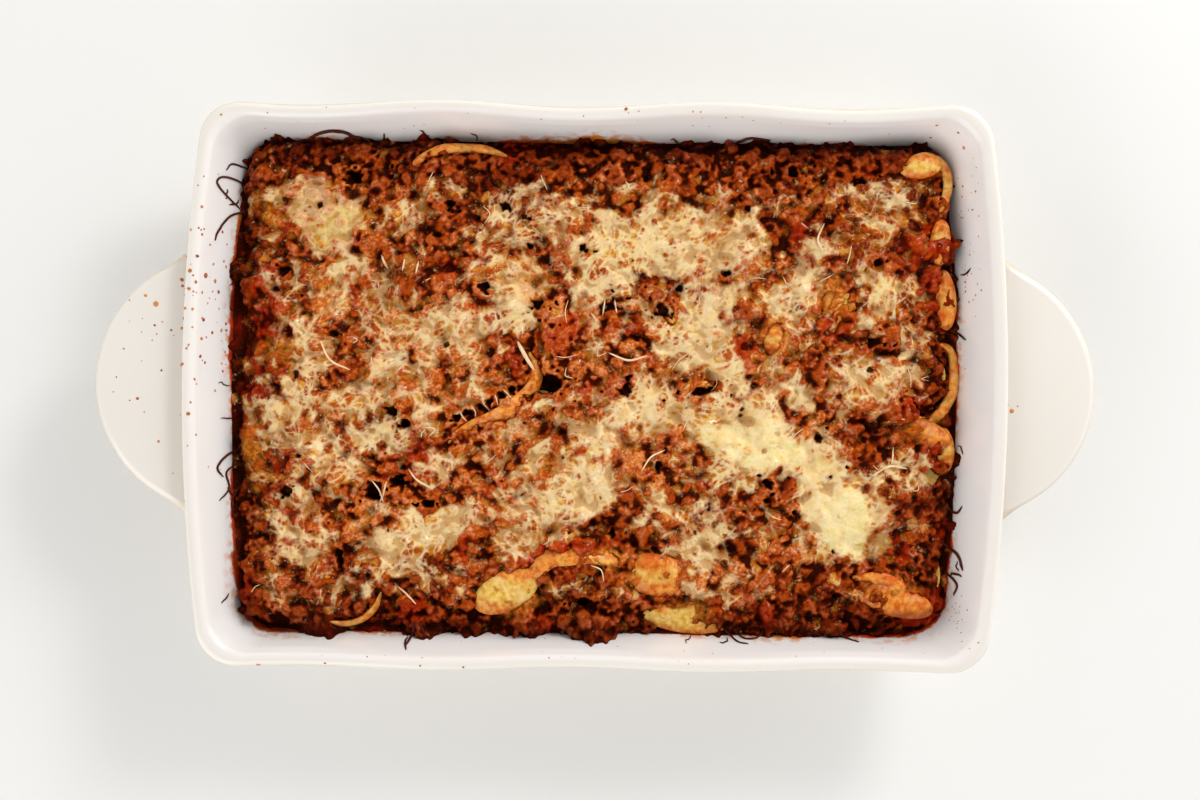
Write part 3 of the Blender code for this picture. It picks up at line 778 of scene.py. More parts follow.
cover = (0.12 * (1 - inner) * cover) + inner * even
for _, crest, apron, gap, side, points in LIPS:
    for x, y in smooth_path(points, 3):
        cover *= 1 - 0.85 * spot(x, y, crest + 0.5 * apron, crest + 0.5 * apron, 0, 0.5)
for _, x, y, a, b, turn, *_ in BULGES:
    cover *= 1 - 0.9 * spot(x, y, a, b, turn, 0.5)
print("mean cover", round(float(cover.mean()), 2))

# %% [markdown]
# ## Crumbs of meat
# Browned mince breaks into lumps of 3 to 8 mm that cling together in clumps. Each is a dome
# with its own size, turn and dents, and where two meet, the higher one shows: a maximum of
# heights. Smaller grains sit on them. Crumbs that were meshes of their own would cost
# millions of faces.

# %% Crumb relief
dents = wander(1.9 * MM, 31)
grain = wander(1.1 * MM, 32)
clumps = 0.5 + 0.5 * np.tanh(wander(12 * MM, 33))
tone = np.full(X.shape, 0.3)
smooth_places = np.zeros(X.shape)
for name in pools:
    low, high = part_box(name)
    middle, half = (low + high) / 2 / MM, (high - low) / 2 / MM
    smooth_places = np.maximum(smooth_places, 0.7 * spot(middle.x, middle.y, half.x, half.y))
SAUCE_ONLY = (  # x, y, half length, half width in mm
    (16, 101.5, 62, 5), (-153, 24, 5, 28), (-153, -84, 4, 16), (-122, -104, 34, 4.5),
    (126, -104, 20, 3),
)
for x, y, a, b in SAUCE_ONLY:
    smooth_places = np.maximum(smooth_places, spot(x, y, a, b))


def dome(height, x, y, radius, rise, stretch, turn, level, colour):
    """Raises the height field to a dented dome centred at x and y."""
    reach = radius * max(stretch, 1 / stretch) * 1.35
    left, right = np.searchsorted(across, (x - reach, x + reach))
    low, high = np.searchsorted(along, (y - reach, y + reach))
    window = np.s_[low:high, left:right]
    if X[window].size == 0:
        return
    u, v = turned(X[window] - x, Y[window] - y, turn)
    out = np.hypot(u / (radius * stretch), v * stretch / radius) * (1 + 0.16 * dents[window])
    crown = level + rise * np.sqrt(np.clip(1 - out**2, 0, 1)) + 0.15 * MM * grain[window]
    new = (crown > height[window]) & (out < 1)
    height[window] = np.where(new, crown, height[window])
    tone[window] = np.where(new, colour, tone[window])


def scatter_domes(height, under, count, typical, spread, smallest, largest, sunk):
    """Many domes at random on the surface under them. Few land on the smooth pools."""
    for _ in range(count):
        x, y = draw.uniform(-HALF_X, HALF_X), draw.uniform(-HALF_Y, HALF_Y)
        column = min(int((x + HALF_X) / PITCH), COLUMNS - 1)
        row = min(int((y + HALF_Y) / PITCH), ROWS - 1)
        if draw.random() < smooth_places[row, column] * 0.92:
            continue
        radius = float(np.clip(draw.lognormal(math.log(typical), spread), smallest, largest)) * MM
        radius *= 0.85 + 0.35 * clumps[row, column]
        rise = radius * draw.uniform(0.6, 1.05)
        level = under[row, column] + draw.uniform(*sunk) * MM + 1.2 * MM * clumps[row, column]
        stretch = draw.uniform(0.78, 1.3)
        dome(height, x, y, radius, rise, stretch, draw.uniform(0, math.tau), level, draw.random())


# How many, their usual radius and its spread, the smallest and largest radius, and how far
# their middles lie below the surface, in mm
CLODS = (320, 5.0, 0.25, 3.5, 8, (-3.4, -1.6))
CRUMBS = (12000, 1.6, 0.42, 0.7, 3.6, (-1.9, 0.2))
GRAINS = (10000, 0.7, 0.2, 0.5, 1.0, (-1.8, -1.1))
lumps = bed.copy()
scatter_domes(lumps, bed, *CLODS)
lumps = blurred(lumps, 0.9 * MM)
meat = lumps - 1.0 * MM
scatter_domes(meat, lumps, *CRUMBS)
scatter_domes(meat, meat.copy(), *GRAINS)
meat = blurred(meat, 0.34 * MM) + 0.12 * MM * grain
print("relief", round(float((meat - bed).std() / MM), 2), "mm")

# %% [markdown]
# ## Holes
# Steam left round holes where it broke through, and gaps stay open between the shells. Their
# insides are also painted dark in the crust's colour: painted shade.

# %% Steam holes
GAPS = (  # x, y, half length, half width in mm, turn in degrees, depth in mm
    (-19.5, 0.5, 6.6, 4.2, 12, 10), (-93, -45, 5.0, 3.0, 20, 8), (-84, -42, 3.2, 2.6, 0, 7),
    (-58.5, -14.7, 1.8, 1.3, 25, 6), (-53.6, -11.9, 2.0, 1.4, 25, 6), (-48.6, -9.4, 1.7, 1.3, 25, 6),
    (-44, -6.9, 1.9, 1.4, 30, 6), (-39.4, -4.3, 1.9, 1.3, 30, 6), (-35.4, -2.2, 1.5, 1.2, 40, 6),
    (-80, -16.5, 3.2, 1.8, 20, 6), (-86, -11, 2.0, 2.6, 0, 5), (-47, 42, 2.6, 2.4, 30, 5),
    (-6, 59, 1.7, 1.7, 0, 5), (-39, 76, 2.0, 1.5, 0, 5), (-28, 59, 1.4, 1.2, 0, 4),
    (36, 42, 2.1, 1.7, 0, 5), (28, 33, 3.8, 2.3, -60, 5), (55, 48, 1.9, 1.8, 0, 5),
    (83, 92, 2.4, 1.6, 0, 5), (120, 54, 2.2, 1.6, 0, 5), (118, 20, 2.6, 2.0, 0, 6),
    (13, -2, 2.6, 2.3, 0, 5), (73, -40, 1.9, 1.9, 0, 5), (73, -48, 1.8, 1.4, 0, 5),
    (85, -53, 1.2, 1.6, 0, 4), (95, -22, 2.0, 1.9, 0, 5), (104, -88, 1.5, 1.3, 0, 4),
    (-130, -46, 2.7, 2.3, 0, 5), (-70, -51, 2.6, 1.8, 0, 5), (-108, -74, 1.6, 3.0, 10, 5),
    (-103, 88, 3.6, 2.6, 0, 5), (-132, 48, 2.6, 2.4, 0, 5), (45, -2, 5.4, 1.7, 14, 6),
    (8, -63, 1.4, 2.0, 0, 4), (-4, -92, 3.0, 2.0, 0, 5), (112, 88, 2.6, 1.2, 0, 4),
    (-62, 77, 1.6, 2.4, 30, 5), (5, 34, 4.0, 2.2, 10, 4), (-25, 34, 2.2, 2.0, 0, 5),
    (27, -34, 1.3, 2.2, 0, 4), (64, 76, 1.2, 1.2, 0, 4),
)
pits = np.zeros(X.shape)
pit_depth = np.zeros(X.shape)


def sink(x, y, a, b, turn, depth, dark):
    """Deepens the crust to a hole. Dark says how black the painted shade inside it looks."""
    hole = 1 - ease(0.6, 1.15, ellipse(x, y, a, b, turn) * (1 + 0.24 * dents + 0.12 * grain))
    pits[:] = np.maximum(pits, hole * dark)
    pit_depth[:] = np.maximum(pit_depth, hole * depth * 0.8 * MM)


for gap in GAPS:
    sink(*gap, 1.0 if gap[5] > 5 else 0.85)
for _, crest, apron, gap, side, points in LIPS:
    curve = smooth_path(points, 3)
    for here, ahead in zip(curve[1:-1], curve[2:]):
        along_it = ahead - here
        away = Vector((-along_it.y, along_it.x)).normalized() * side * (crest / 2 + gap * 0.8)
        if gap and draw.random() < 0.6:
            turn = math.degrees(math.atan2(along_it.y, along_it.x))
            long, wide = gap * draw.uniform(0.7, 1.1), gap * draw.uniform(0.5, 0.8)
            sink(*(here + away), long, wide, turn, 1.5 + gap, 0.62)
SMALL_HOLES = 34
for _ in range(SMALL_HOLES):
    x, y = draw.uniform(-138, 140), draw.uniform(-92, 88)
    size = draw.uniform(0.6, 1.6)
    dark = draw.uniform(0.35, 0.75)
    sink(x, y, size, size * draw.uniform(0.6, 1), draw.uniform(0, 180), draw.uniform(1.5, 3.5), dark)
meat -= pit_depth
crowns = np.clip(0.5 + (meat - blurred(meat, 2.4 * MM)) / (1.6 * MM), 0, 1)

# %% [markdown]
# ## Melted cheese
# It went on as shreds up to 26 mm long, then melted. A shred is drawn as a curved line of
# dots that add thickness. Then the thickness is let flow: at each step some runs downhill
# between neighbouring points, but never more than lies there, and not on a gentle slope, as
# melted cheese is stiff. It leaves the tops of the crumbs, gathers in the creases and keeps
# the shreds as strings.


# %% Strew the shreds
combed = 2.4 * wander(30 * MM, 81)


def strew(count, length, radius, amount, where, tangle=1.6):
    """Thickness laid down by many curved shreds. Less tangle makes neighbours lie alike."""
    laid = np.zeros(X.shape)
    x, y = draw.uniform(-HALF_X, HALF_X, count * 8), draw.uniform(-HALF_Y, HALF_Y, count * 8)
    kept = np.flatnonzero(draw.random(count * 8) < read(where, x, y))[:count]
    x, y, count = x[kept], y[kept], len(kept)
    heading = read(combed, x, y) + draw.normal(0, tangle, count)
    bend = draw.normal(0, 50, count)  # radians for each metre of shred
    twist = draw.normal(0, 3500, count)
    size = draw.uniform(*length, count) * MM
    weight = amount * draw.uniform(0.5, 1.5, count)
    steps = 72
    for step in np.linspace(-0.5, 0.5, steps):
        run = size * step
        angle = heading + bend * run + twist * run * run
        row = np.round((y + np.sin(angle) * run + HALF_Y) / PITCH).astype(int)
        column = np.round((x + np.cos(angle) * run + HALF_X) / PITCH).astype(int)
        ok = (row >= 0) & (row < ROWS) & (column >= 0) & (column < COLUMNS)
        dot = weight[ok] * size[ok] / steps / PITCH
        np.add.at(laid, (row[ok], column[ok]), dot)
    return blurred(laid, radius) * radius / PITCH * 2.5


# How many, their shortest and longest, then how wide and how thick they lie
WIDE_SHREDS = (1500, (12, 26), 0.5 * MM, 0.24 * MM)
FINE_SHREDS = (2000, (6, 15), 0.4 * MM, 0.12 * MM)
THIN_THREADS = (3900, (6, 22), 0.27 * MM, 0.1 * MM)
THICK_THREADS = (1000, (9, 24), 0.45 * MM, 0.12 * MM)
share = np.clip(cover, 0, 1.2) / 1.2
wide, fine = strew(*WIDE_SHREDS, share), strew(*FINE_SHREDS, share)
veil = 0.26 * MM * ease(0.35, 1.15, cover + 0.10 * FRAYED) * (1.25 - 1.0 * crowns)
pooled = ease(1.0, 1.45, cover + 0.06 * RAGGED) * 1.3 * MM
thick = np.minimum(wide, 1.6 * MM) + fine + veil + pooled
print("cheese laid", round(float(thick.mean() / MM), 2), "mm on average")


# %% Let it flow
def flow(ground, layer, steps, stiff=0.5, speed=0.1):
    """Runs some of the layer downhill at each step, never more than an eighth of it at once."""
    layer = layer.copy()
    for _ in range(steps):
        top = ground + layer
        for axis in (0, 1):
            drop = np.diff(top, axis=axis)
            drop = np.sign(drop) * np.maximum(np.abs(drop) - stiff * PITCH, 0)
            ahead = layer[1:, :] if axis == 0 else layer[:, 1:]
            behind = layer[:-1, :] if axis == 0 else layer[:, :-1]
            moved = np.clip(drop * speed, -behind / 8, ahead / 8)
            behind += moved
            ahead -= moved
    return layer


FLOW_STEPS = 26
melted = flow(meat, thick, FLOW_STEPS)
melted *= 1 - 0.95 * pits
skin = meat + melted
body = ease(0.1 * MM, 0.9 * MM, blurred(melted, 0.8 * MM))
skin = skin * (1 - 0.7 * body) + blurred(skin, 1.1 * MM) * 0.7 * body
ground = blurred(skin, 1.5 * MM)
over = np.clip(0.5 + (skin - blurred(skin, 1.6 * MM)) / (1.1 * MM), 0, 1)
loose = ease(0.0, 0.78, cover + 0.06 * FRAYED + 0.15 * wander(3.5 * MM, 63))
threads = strew(*THIN_THREADS, loose, 0.6) + strew(*THICK_THREADS, loose, 0.6)
threads = 1 - np.exp(-threads / (0.1 * MM))
rich_zone = ease(0.9, 1.3, cover)
sheet = 0.24 + 0.52 * np.minimum(cover, 1) + 0.9 * np.maximum(cover - 1, 0)
sheet = sheet + 0.95 * (0.5 - over) * (1 - 0.7 * rich_zone)
sheet += 0.08 * FRAYED + 0.18 * wander(4 * MM, 62)
film = blurred(loose * np.clip(sheet, 0, 1), 0.15 * MM) * (1 - 0.9 * pits)
strings = blurred(loose * threads * (1.1 - 0.35 * over), 0.1 * MM) * (1 - 0.9 * pits)
skin += 0.3 * MM * strings
cling = np.clip(wander(6 * MM, 71) + 0.6 * wander(2.5 * MM, 72), 0, 2) * 1.8 * MM
skin += cling * (1 - ease(0, 4 * MM, to_wall))
plan_mm = {"X": X / MM, "Y": Y / MM}
sunk = sum(deep * ease(low, high, side * plan_mm[axis]) for axis, side, low, high, deep in SUNK)
sunk = np.minimum(sunk, MOST_SUNK) * MM
skin -= sunk * (1 - ease(0, 9 * MM, to_wall))
LEAST_EDGE = 45.2 * MM
skin = np.maximum(skin, LEAST_EDGE - sunk - 0.6 * to_wall)
for name, field in (("film", film), ("strings", strings)):
    print(name, np.percentile(field, (10, 25, 50, 75, 90)).round(2))

# %% [markdown]
# ## Pasta shells
# A jumbo shell is a ridged scoop some 60 mm long. Most of each one is under the crust. What
# shows is a lip here and a bulge there, so a shell's piece is its hull, kept as deep and
# wide as the plain solid, plus the lips and bulges that come through. A lip is a strip swept
# along a path: its crest is round, and its outer side falls away as an apron with ridges.

# %% Hulls
RIDGE = 2.5 * MM


def hull(bm, name):
    """The scoop itself: a half ellipsoid as large as the plain solid, with a sunk flat top."""
    low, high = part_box(name)
    data = frame["nodes"][name].data
    flat = np.array([vert.co[:2] for vert in data.vertices])
    spread = np.cov((flat - flat.mean(0)).T)
    heading = 0.5 * math.atan2(2 * spread[0, 1], spread[0, 0] - spread[1, 1])
    axis = np.array([math.cos(heading), math.sin(heading)])
    long = np.ptp(flat @ axis) / 2
    wide = np.ptp(flat @ np.array([-axis[1], axis[0]])) / 2
    middle = (low + high) / 2
    under = (np.abs(PLAN_X - middle.x) < long * 0.9) & (np.abs(PLAN_Y - middle.y) < wide)
    lowest = float(np.percentile(skin[under & (pits < 0.1)], 1))
    brim = min(high.z - 3.2 * MM, lowest - 1.2 * MM)
    place = Matrix.Translation((middle.x, middle.y, brim)) @ Matrix.Rotation(heading, 4, "Z")
    size = Matrix.Diagonal((long * 0.99, wide * 0.97, brim - low.z, 1))
    made = bmesh.ops.create_uvsphere(bm, u_segments=40, v_segments=20, radius=1, matrix=place @ size)
    for vert in made["verts"]:
        vert.co.z = min(vert.co.z, brim)


# %% Lip and bulge shapes
def crust_level(x, y):
    """The smoothed height of the crust at a place in the dish."""
    return float(read(ground, *to_lattice(np.array([x]), np.array([y])))[0])


def lip_rings(crest, apron, side, points):
    """Outlines across a lip along its path. The apron lies on the other side from the gap."""
    curve = smooth_path(points, 9, MM)
    rings = []
    run = 0.0
    for step, spot_here in enumerate(curve):
        ahead = curve[min(step + 1, len(curve) - 1)] - curve[max(step - 1, 0)]
        out = Vector((ahead.y, -ahead.x)).normalized() * side
        run += (spot_here - curve[max(step - 1, 0)]).length
        share = step / (len(curve) - 1)
        body = math.sin(math.pi * min(1, max(0, share))) ** 0.5
        rise = 2.9 * body - 1.3 + 0.35 * noise.noise((run * 160, crest, 0))
        top = crust_level(*spot_here) + rise * MM
        ridge = 0.22 * MM * math.cos(2 * math.pi * run / RIDGE) * body
        wide = crest * MM * (0.35 + 0.65 * body) * (1 + 0.22 * noise.noise((run * 120, 7, crest)))
        skirt = apron * MM * body
        section = (
            (-wide / 2, -4.5 * MM),
            (-wide / 2, -0.9 * MM),
            (-wide * 0.42, -0.3 * MM),
            (-wide * 0.15, 0),
            (wide * 0.25, -0.05 * MM + ridge * 0.5),
            (wide / 2 + skirt * 0.3, -0.4 * MM - skirt * 0.25 + ridge),
            (wide / 2 + skirt * 0.7, -0.9 * MM - skirt * 0.55 + ridge),
            (wide / 2 + skirt, -1.4 * MM - skirt * 0.9 + ridge),
            (wide / 2 + skirt * 0.8, -4.5 * MM - skirt * 0.5),
        )
        rings.append([(*(spot_here + out * across_it), top + up) for across_it, up in section])
    return rings


def add_loft(bm, rings):
    """Adds a closed skin through the rings to a mesh."""
    part = loft(rings)
    data = bpy.data.meshes.new("part")
    part.to_mesh(data)
    part.free()
    bm.from_mesh(data)
    bpy.data.meshes.remove(data)


def bulge(bm, ridge, x, y, half_long, half_wide, turn, rise):
    """A shell's back: the top of a ridged ellipsoid that comes through the crust."""
    rooted = 2.2
    foot = crust_level(x * MM, y * MM) - rooted * MM
    place = Matrix.Translation((x * MM, y * MM, foot)) @ Matrix.Rotation(math.radians(turn), 4, "Z")
    size = Matrix.Diagonal((half_long * MM, half_wide * MM, (rooted + rise) * MM, 1))
    made = bmesh.ops.create_uvsphere(bm, u_segments=120, v_segments=40, radius=1, matrix=place @ size)
    back = (place @ size).inverted()
    for vert in made["verts"]:
        wave = math.cos(2 * math.pi * (back @ vert.co).x * half_long * MM / RIDGE)
        if vert.co.z > foot:
            vert.co.z += 0.12 * MM * wave + 0.8 * MM * noise.noise(vert.co * 130)
            vert[ridge] = 0.5 - 0.5 * wave


# %% Pasta
def pasta_material():
    pasta = Finish("baked_pasta", 0.3, IOR=1.4, Specular_IOR_Level=0.2)
    stain, ridge = pasta.attributes("stain", "ridge")
    patch = pasta.cloud(0.006, 3)
    fine = pasta.cloud(0.0025, 4)
    yellow = pasta.blend(fine.step(0.3, 0.7), (214, 156, 52), (240, 204, 108))
    orange = pasta.blend(fine.step(0.3, 0.7), (196, 84, 12), (244, 160, 62))
    shaded = pasta.blend(patch.step(0.3, 0.7), (138, 54, 8), (206, 112, 34))
    redder = pasta.cloud(0.01, 3).step(0.48, 0.68) * (stain * 1.4 - 0.3).limit() * 0.65
    smear = pasta.cloud(0.008, 4).step(0.52, 0.72) * (1.1 - stain).limit() * 0.5
    colour = pasta.paint(
        yellow,
        ((stain + 1.1 * (patch - 0.5)).step(0.15, 0.75), orange),
        # Stain past 1 is painted shade: brown where a bulge dips under the crust.
        ((stain - 1) * 3, shaded),
        # The grooves between the ridges are painted browner: painted shade.
        (ridge.step(0.5, 1.0) * patch * 0.3, (150, 84, 20)),
        (pasta.cloud(0.0035, 4).step(0.58, 0.7) * 0.6, (150, 50, 8)),
        (redder, (206, 62, 6)),
        (smear, (242, 216, 150)),
    )
    return pasta.use(Base_Color=colour, Coat_Weight=0.3 * patch, Normal=pasta.bump(fine, 0.0006))


baked_pasta = pasta_material()
USUAL_STAIN = 0.5
LIP_STAIN = {"shell_north": 0.6, "shell_south_middle": 0.6, "shell_centre_left": 0.7}
LIP_STAIN["shell_south_east"] = 0.85
for name in shells:
    bm = bmesh.new()
    stain, ridge = bm.verts.layers.float.new("stain"), bm.verts.layers.float.new("ridge")
    hull(bm, name)
    for shell, crest, apron, gap, side, points in LIPS:
        if shell == name:
            before = set(bm.verts)
            add_loft(bm, lip_rings(crest, apron, side, points))
            for vert in set(bm.verts) - before:
                vert[stain] = LIP_STAIN.get(name, USUAL_STAIN)
    for shell, x, y, half_long, half_wide, turn, rise, colour in BULGES:
        if shell == name:
            before = set(bm.verts)
            bulge(bm, ridge, x, y, half_long, half_wide, turn, rise)
            for vert in set(bm.verts) - before:
                u, v = (vert.co.x / MM - x) / half_long, (vert.co.y / MM - y) / half_wide
                # Towards the rim and sides the stain grows: more orange, and past 1 painted shade.
                rim_stain_and_shade = 0.5 * max(0, math.hypot(u, v) - 0.45)
                vert[stain] = colour + rim_stain_and_shade + 0.5 * abs(v) - 0.15
    finish_piece(bm, name + "_baked", baked_pasta, [name])

# %% [markdown]
# Where a lip or bulge comes up to the crust, the crust is lowered just beneath it, so the
# pasta shows. Here and there a crumb is left lying on it.

# %% Uncover the pasta
tree = ray_target(item.data for item in scene.objects if item.name.endswith("_baked"))
near = to_wall < 15 * MM  # here the crust has sunk, and a hull could come through
for _, crest, apron, gap, side, points in LIPS:
    for x, y in smooth_path(points, 4):
        near |= np.hypot(PLAN_X / MM - x, PLAN_Y / MM - y) < crest + apron + 1.5
for _, x, y, a, b, *_ in BULGES:
    near |= np.hypot(PLAN_X / MM - x, PLAN_Y / MM - y) < max(a, b) + 1
ragged = (0.8 * FRAYED + 1.2 * RAGGED) * MM
crumbs = skin - ground
shown = 0
for row, column in zip(*np.nonzero(near)):
    above = Vector((PLAN_X[row, column], PLAN_Y[row, column], 0.1))
    hit = tree.ray_cast(above, DOWN)[0]
    if hit and hit.z > ground[row, column] + ragged[row, column] - 0.3 * MM:
        skin[row, column] = min(skin[row, column], hit.z - 0.3 * MM)
        shown += 1
    elif hit:
        skin[row, column] = max(skin[row, column], hit.z + 0.5 * MM + crumbs[row, column])
print("pasta shows over", round(shown * PITCH**2 * 1e4, 1), "cm2")

# %% [markdown]
# ## The baked crust
# Relief and maps become one fine mesh, in four parts so that none is too heavy. Each
# starts from a grid. Its points are moved to the dish's plan: the rounded corners and the
# bowed ends. A skirt and a base make it a closed body.

# %% Maps that the crust's finish reads
def ranked(field):
    """The field spread evenly from 0 to 1, its order kept."""
    order = np.empty(field.size)
    order[field.ravel().argsort()] = np.linspace(0, 1, field.size)
    return order.reshape(field.shape)


edge = np.exp(-np.maximum(to_wall, 0) / (5 * MM))
crowns = np.clip(0.5 + (skin - blurred(skin, 2.4 * MM)) / (1.5 * MM), 0, 1)
fine_crowns = np.clip(0.5 + (skin - blurred(skin, 1.0 * MM)) / (0.7 * MM), 0, 1)
# Crumb tops are painted lighter by how far they stand above their surroundings (crowns and fine_crowns):
# painted light. The rest is each crumb's own tone, random patches, a lighter middle and darker food near
# the walls.
light = 0.55 * crowns + 0.35 * fine_crowns + 0.25 * tone + 0.08 * wander(4.5 * MM, 57)
light = light + 0.06 * grain + 0.1 * wander(22 * MM, 58)
light += 0.25 * spot(-14, 18, 16, 15) - 0.8 * np.exp(-np.maximum(to_wall, 0) / (18 * MM))
toast = np.clip(0.5 + 0.3 * wander(9 * MM, 51), 0, 1) * crowns
orange = 0.9 * ease(-112, -146, X / MM + 6 * RAGGED) + 0.35 * np.clip(wander(13 * MM, 52), 0, 2)
no_cheese = 1 - 0.8 * np.clip(melted / MM, 0, 1)
orange = 0.45 * np.clip(orange, 0, 1) * no_cheese * ease(4 * MM, 12 * MM, to_wall)
OILY = (  # x, y, half length, half width in mm
    (-138, 70, 8, 12), (-114, 37, 6, 10), (-134, 14, 9, 6), (-146, -25, 6, 14), (-27, 43, 7, 12),
    (-18, -34, 7, 5), (77, 20, 7, 11), (103, 38, 8, 13), (27, -79, 17, 11), (38, -97, 16, 6),
    (128, -86, 16, 7), (138, -17, 12, 7), (2, -73, 14, 6), (-34, -88, 15, 9),
)
for x, y, a, b in OILY:
    orange = np.maximum(orange, 0.8 * spot(x, y, a, b, 0, 1.2))
red = ease(0.8, 2.0, wander(12 * MM, 53)) * 0.7
red = np.clip(red + edge * 0.3 * ease(0, 1, wander(9 * MM, 54)), 0, 1)
SAUCY = (  # x, y, half length, half width in mm, turn in degrees, amount
    (-12, 26, 6, 5, 0, 0.7), (-14, -70, 22, 4, 8, 0.9), (-10, -37, 9, 5, 0, 0.7),
    (64, 18, 5, 9, 0, 0.7), (102, 27, 9, 5, 20, 0.7), (-108, 62, 10, 5, -10, 0.7),
    (-138, 25, 7, 20, 0, 0.8), (-145, -10, 7, 20, 0, 0.7),
)
for x, y, a, b, turn, amount in SAUCY:
    red = np.maximum(red, amount * spot(x, y, a, b, turn))
char = np.clip(edge * (0.8 + 0.3 * wander(6 * MM, 55)), 0, 1)
char = np.maximum(char, 1 - ease(0.6, 2.4, to_wall / MM + 0.5 * FRAYED))
# Painted shade: the creases between crumbs and the holes are darkened in the colour, less under cheese
# and in the pools.
creases = 0.75 * (1 - ease(0.0, 0.46, crowns)) * (1 - 0.3 * film) * (1 - 0.85 * rich_zone)
shade = np.clip(pits + creases, 0, 1)
MAPS = {
    "film": film,
    "strings": strings,
    "depth": np.clip(melted / (2.0 * MM), 0, 1),
    "tone": ranked(light),
    "glassy": np.maximum(0.9 * spot(-118, 74, 24, 20), 0.7 * spot(128, -62, 12, 18)),
    "toast": toast,
    "orange": orange,
    "red": red,
    "char": char,
    "shade": shade,
}


# %% Grid to plan
CRUST_BASE = 36 * MM
LOW_MARK = -1  # the height in metres that marks the base's points until they are placed


def make_crust(name, first, last, material, nodes):
    """One part of the crust, between two columns of the lattice."""
    bm = bmesh.new()
    bmesh.ops.create_grid(bm, x_segments=last - first, y_segments=ROWS - 1, size=0.5)
    width = across[last] - across[first]
    bmesh.ops.scale(bm, vec=(width, 2 * HALF_Y, 1), verts=bm.verts)
    bmesh.ops.translate(bm, vec=((across[last] + across[first]) / 2, 0, 0), verts=bm.verts)
    border = [edge for edge in bm.edges if edge.is_boundary]
    for edge in border:
        edge.smooth = False
    skirt = bmesh.ops.extrude_edge_only(bm, edges=border)["geom"]
    low = {item for item in skirt if isinstance(item, bmesh.types.BMVert)}
    for vert in low:
        vert.co.z = LOW_MARK
    base = [edge for edge in bm.edges if edge.is_boundary]
    bmesh.ops.edgeloop_fill(bm, edges=base)
    bmesh.ops.recalc_face_normals(bm, faces=bm.faces)
    crust = finish_piece(bm, name, material, nodes).data
    spots = places(crust)
    x, y, under = spots[:, 0], spots[:, 1], spots[:, 2] < LOW_MARK / 2
    z = read(skin, x, y)
    for key, field in MAPS.items():
        mark(crust, key, read(field, x, y))
    new_x, new_y = to_plan(x, y, z)
    inset = np.where(under, 1 - (z - CRUST_BASE) * FLARE / 0.15, 1)
    spots = np.stack([new_x * inset, new_y * inset, np.where(under, CRUST_BASE, z)], 1)
    crust.vertices.foreach_set("co", spots.astype(np.float32).ravel())
    crust.update()


# %% [markdown]
# The crust's finish mixes sauce-brown meat with cheese by the film's thickness. Noise shifts
# the edge of the film, which gives finer strings than the mesh holds. Thin film lets the meat
# show, and thick cheese is pale. The tops of the crumbs are wet, and a fine bump gives them
# tiny glints. Light and shade are painted in too: the crumbs' tops lighter, creases and holes
# darker, and pale flecks that are partly bits of cheese and partly painted glints.


# %% Crust finish
def crust_material():
    crust = Finish("baked_crust", 0.3, IOR=1.45, Specular_IOR_Level=0.03, Coat_Roughness=0.1)
    film, strings, depth, tone, glassy, toast, orange, red, char, shade = crust.attributes(*MAPS)
    speck = crust.cloud(0.0012, 4)
    patch = crust.cloud(0.0045, 3)
    # tone holds painted light on the crumbs' tops as well as their own tone.
    level = tone + 0.65 * (speck - 0.5) + 0.35 * (patch - 0.5)
    meat = crust.paint(
        crust.blend(level.step(0.0, 0.5), (42, 7, 1), (110, 31, 2)),
        (level.step(0.42, 0.95), (180, 75, 12)),
        (level.step(0.85, 1.15), (232, 146, 72)),
        ((red * (0.55 + 0.6 * patch)).limit() * 0.75, (176, 30, 1)),
        ((char * (1.3 - tone * 0.6)).limit() * 0.75, (44, 9, 1)),
        # painted shade in the creases and holes
        (shade.step(0.0, 0.7) * 0.7, (50, 11, 1)),
    )
    fibre = crust.cloud(0.0022, 3, 1.2)
    frayed = 0.3 * (fibre - 0.5) + 0.2 * (speck - 0.5)
    thin = crust.blend(patch.step(0.3, 0.7), (186, 84, 6), (216, 134, 36))
    cream = crust.blend(crust.cloud(0.006, 3).step(0.40, 0.66), (224, 166, 62), (242, 210, 124))
    pool = crust.blend(patch, (228, 212, 128), (246, 238, 186))
    rich = crust.paint(
        cream,
        (depth.step(0.35, 0.9) * 0.9, pool),
        (glassy * 0.8, (216, 186, 84)),
        ((toast * (patch + 0.45)).step(0.4, 0.9) * 0.5, (214, 124, 50)),
    )
    # Tiny pale flecks where the film is thin: partly bits of cheese, partly painted glints on the wet
    # crumbs.
    fleck_and_glint = crust.cloud(0.0015, 2).step(0.6, 0.68) * film.step(0.0, 0.25) * 0.45
    net = (strings + frayed * 0.6).step(0.18, 0.8) * (0.8 - 0.4 * glassy)
    oily = crust.blend(fibre.step(0.35, 0.65), (210, 90, 8), (242, 174, 60))
    colour = crust.paint(
        meat,
        ((film + frayed).step(0.08, 0.6), thin),
        ((film + frayed).step(0.45, 1.05), rich),
        (fleck_and_glint, (248, 220, 180)),
        (net, crust.blend(patch, (236, 192, 100), (255, 248, 210))),
        ((orange * (0.2 + patch)).step(0.2, 0.9) * 0.7, oily),
        # Painted shade: creases under cheese turn tan, and holes go nearly black.
        (shade.step(0.1, 0.6) * film.step(0.2, 0.6) * 0.5, (172, 92, 22)),
        (shade.step(0.6, 1.0) * 0.9, (38, 11, 3)),
    )
    wet = tone.step(0.45, 0.9) * patch.step(0.4, 0.7) * (1 - shade.step(0.1, 0.5))
    bumpy = crust.bump(speck * 0.6 + fibre * 0.4, 0.0012)
    return crust.use(Base_Color=colour, Roughness=0.2 + 0.2 * patch, Coat_Weight=wet * 0.8, Normal=bumpy)


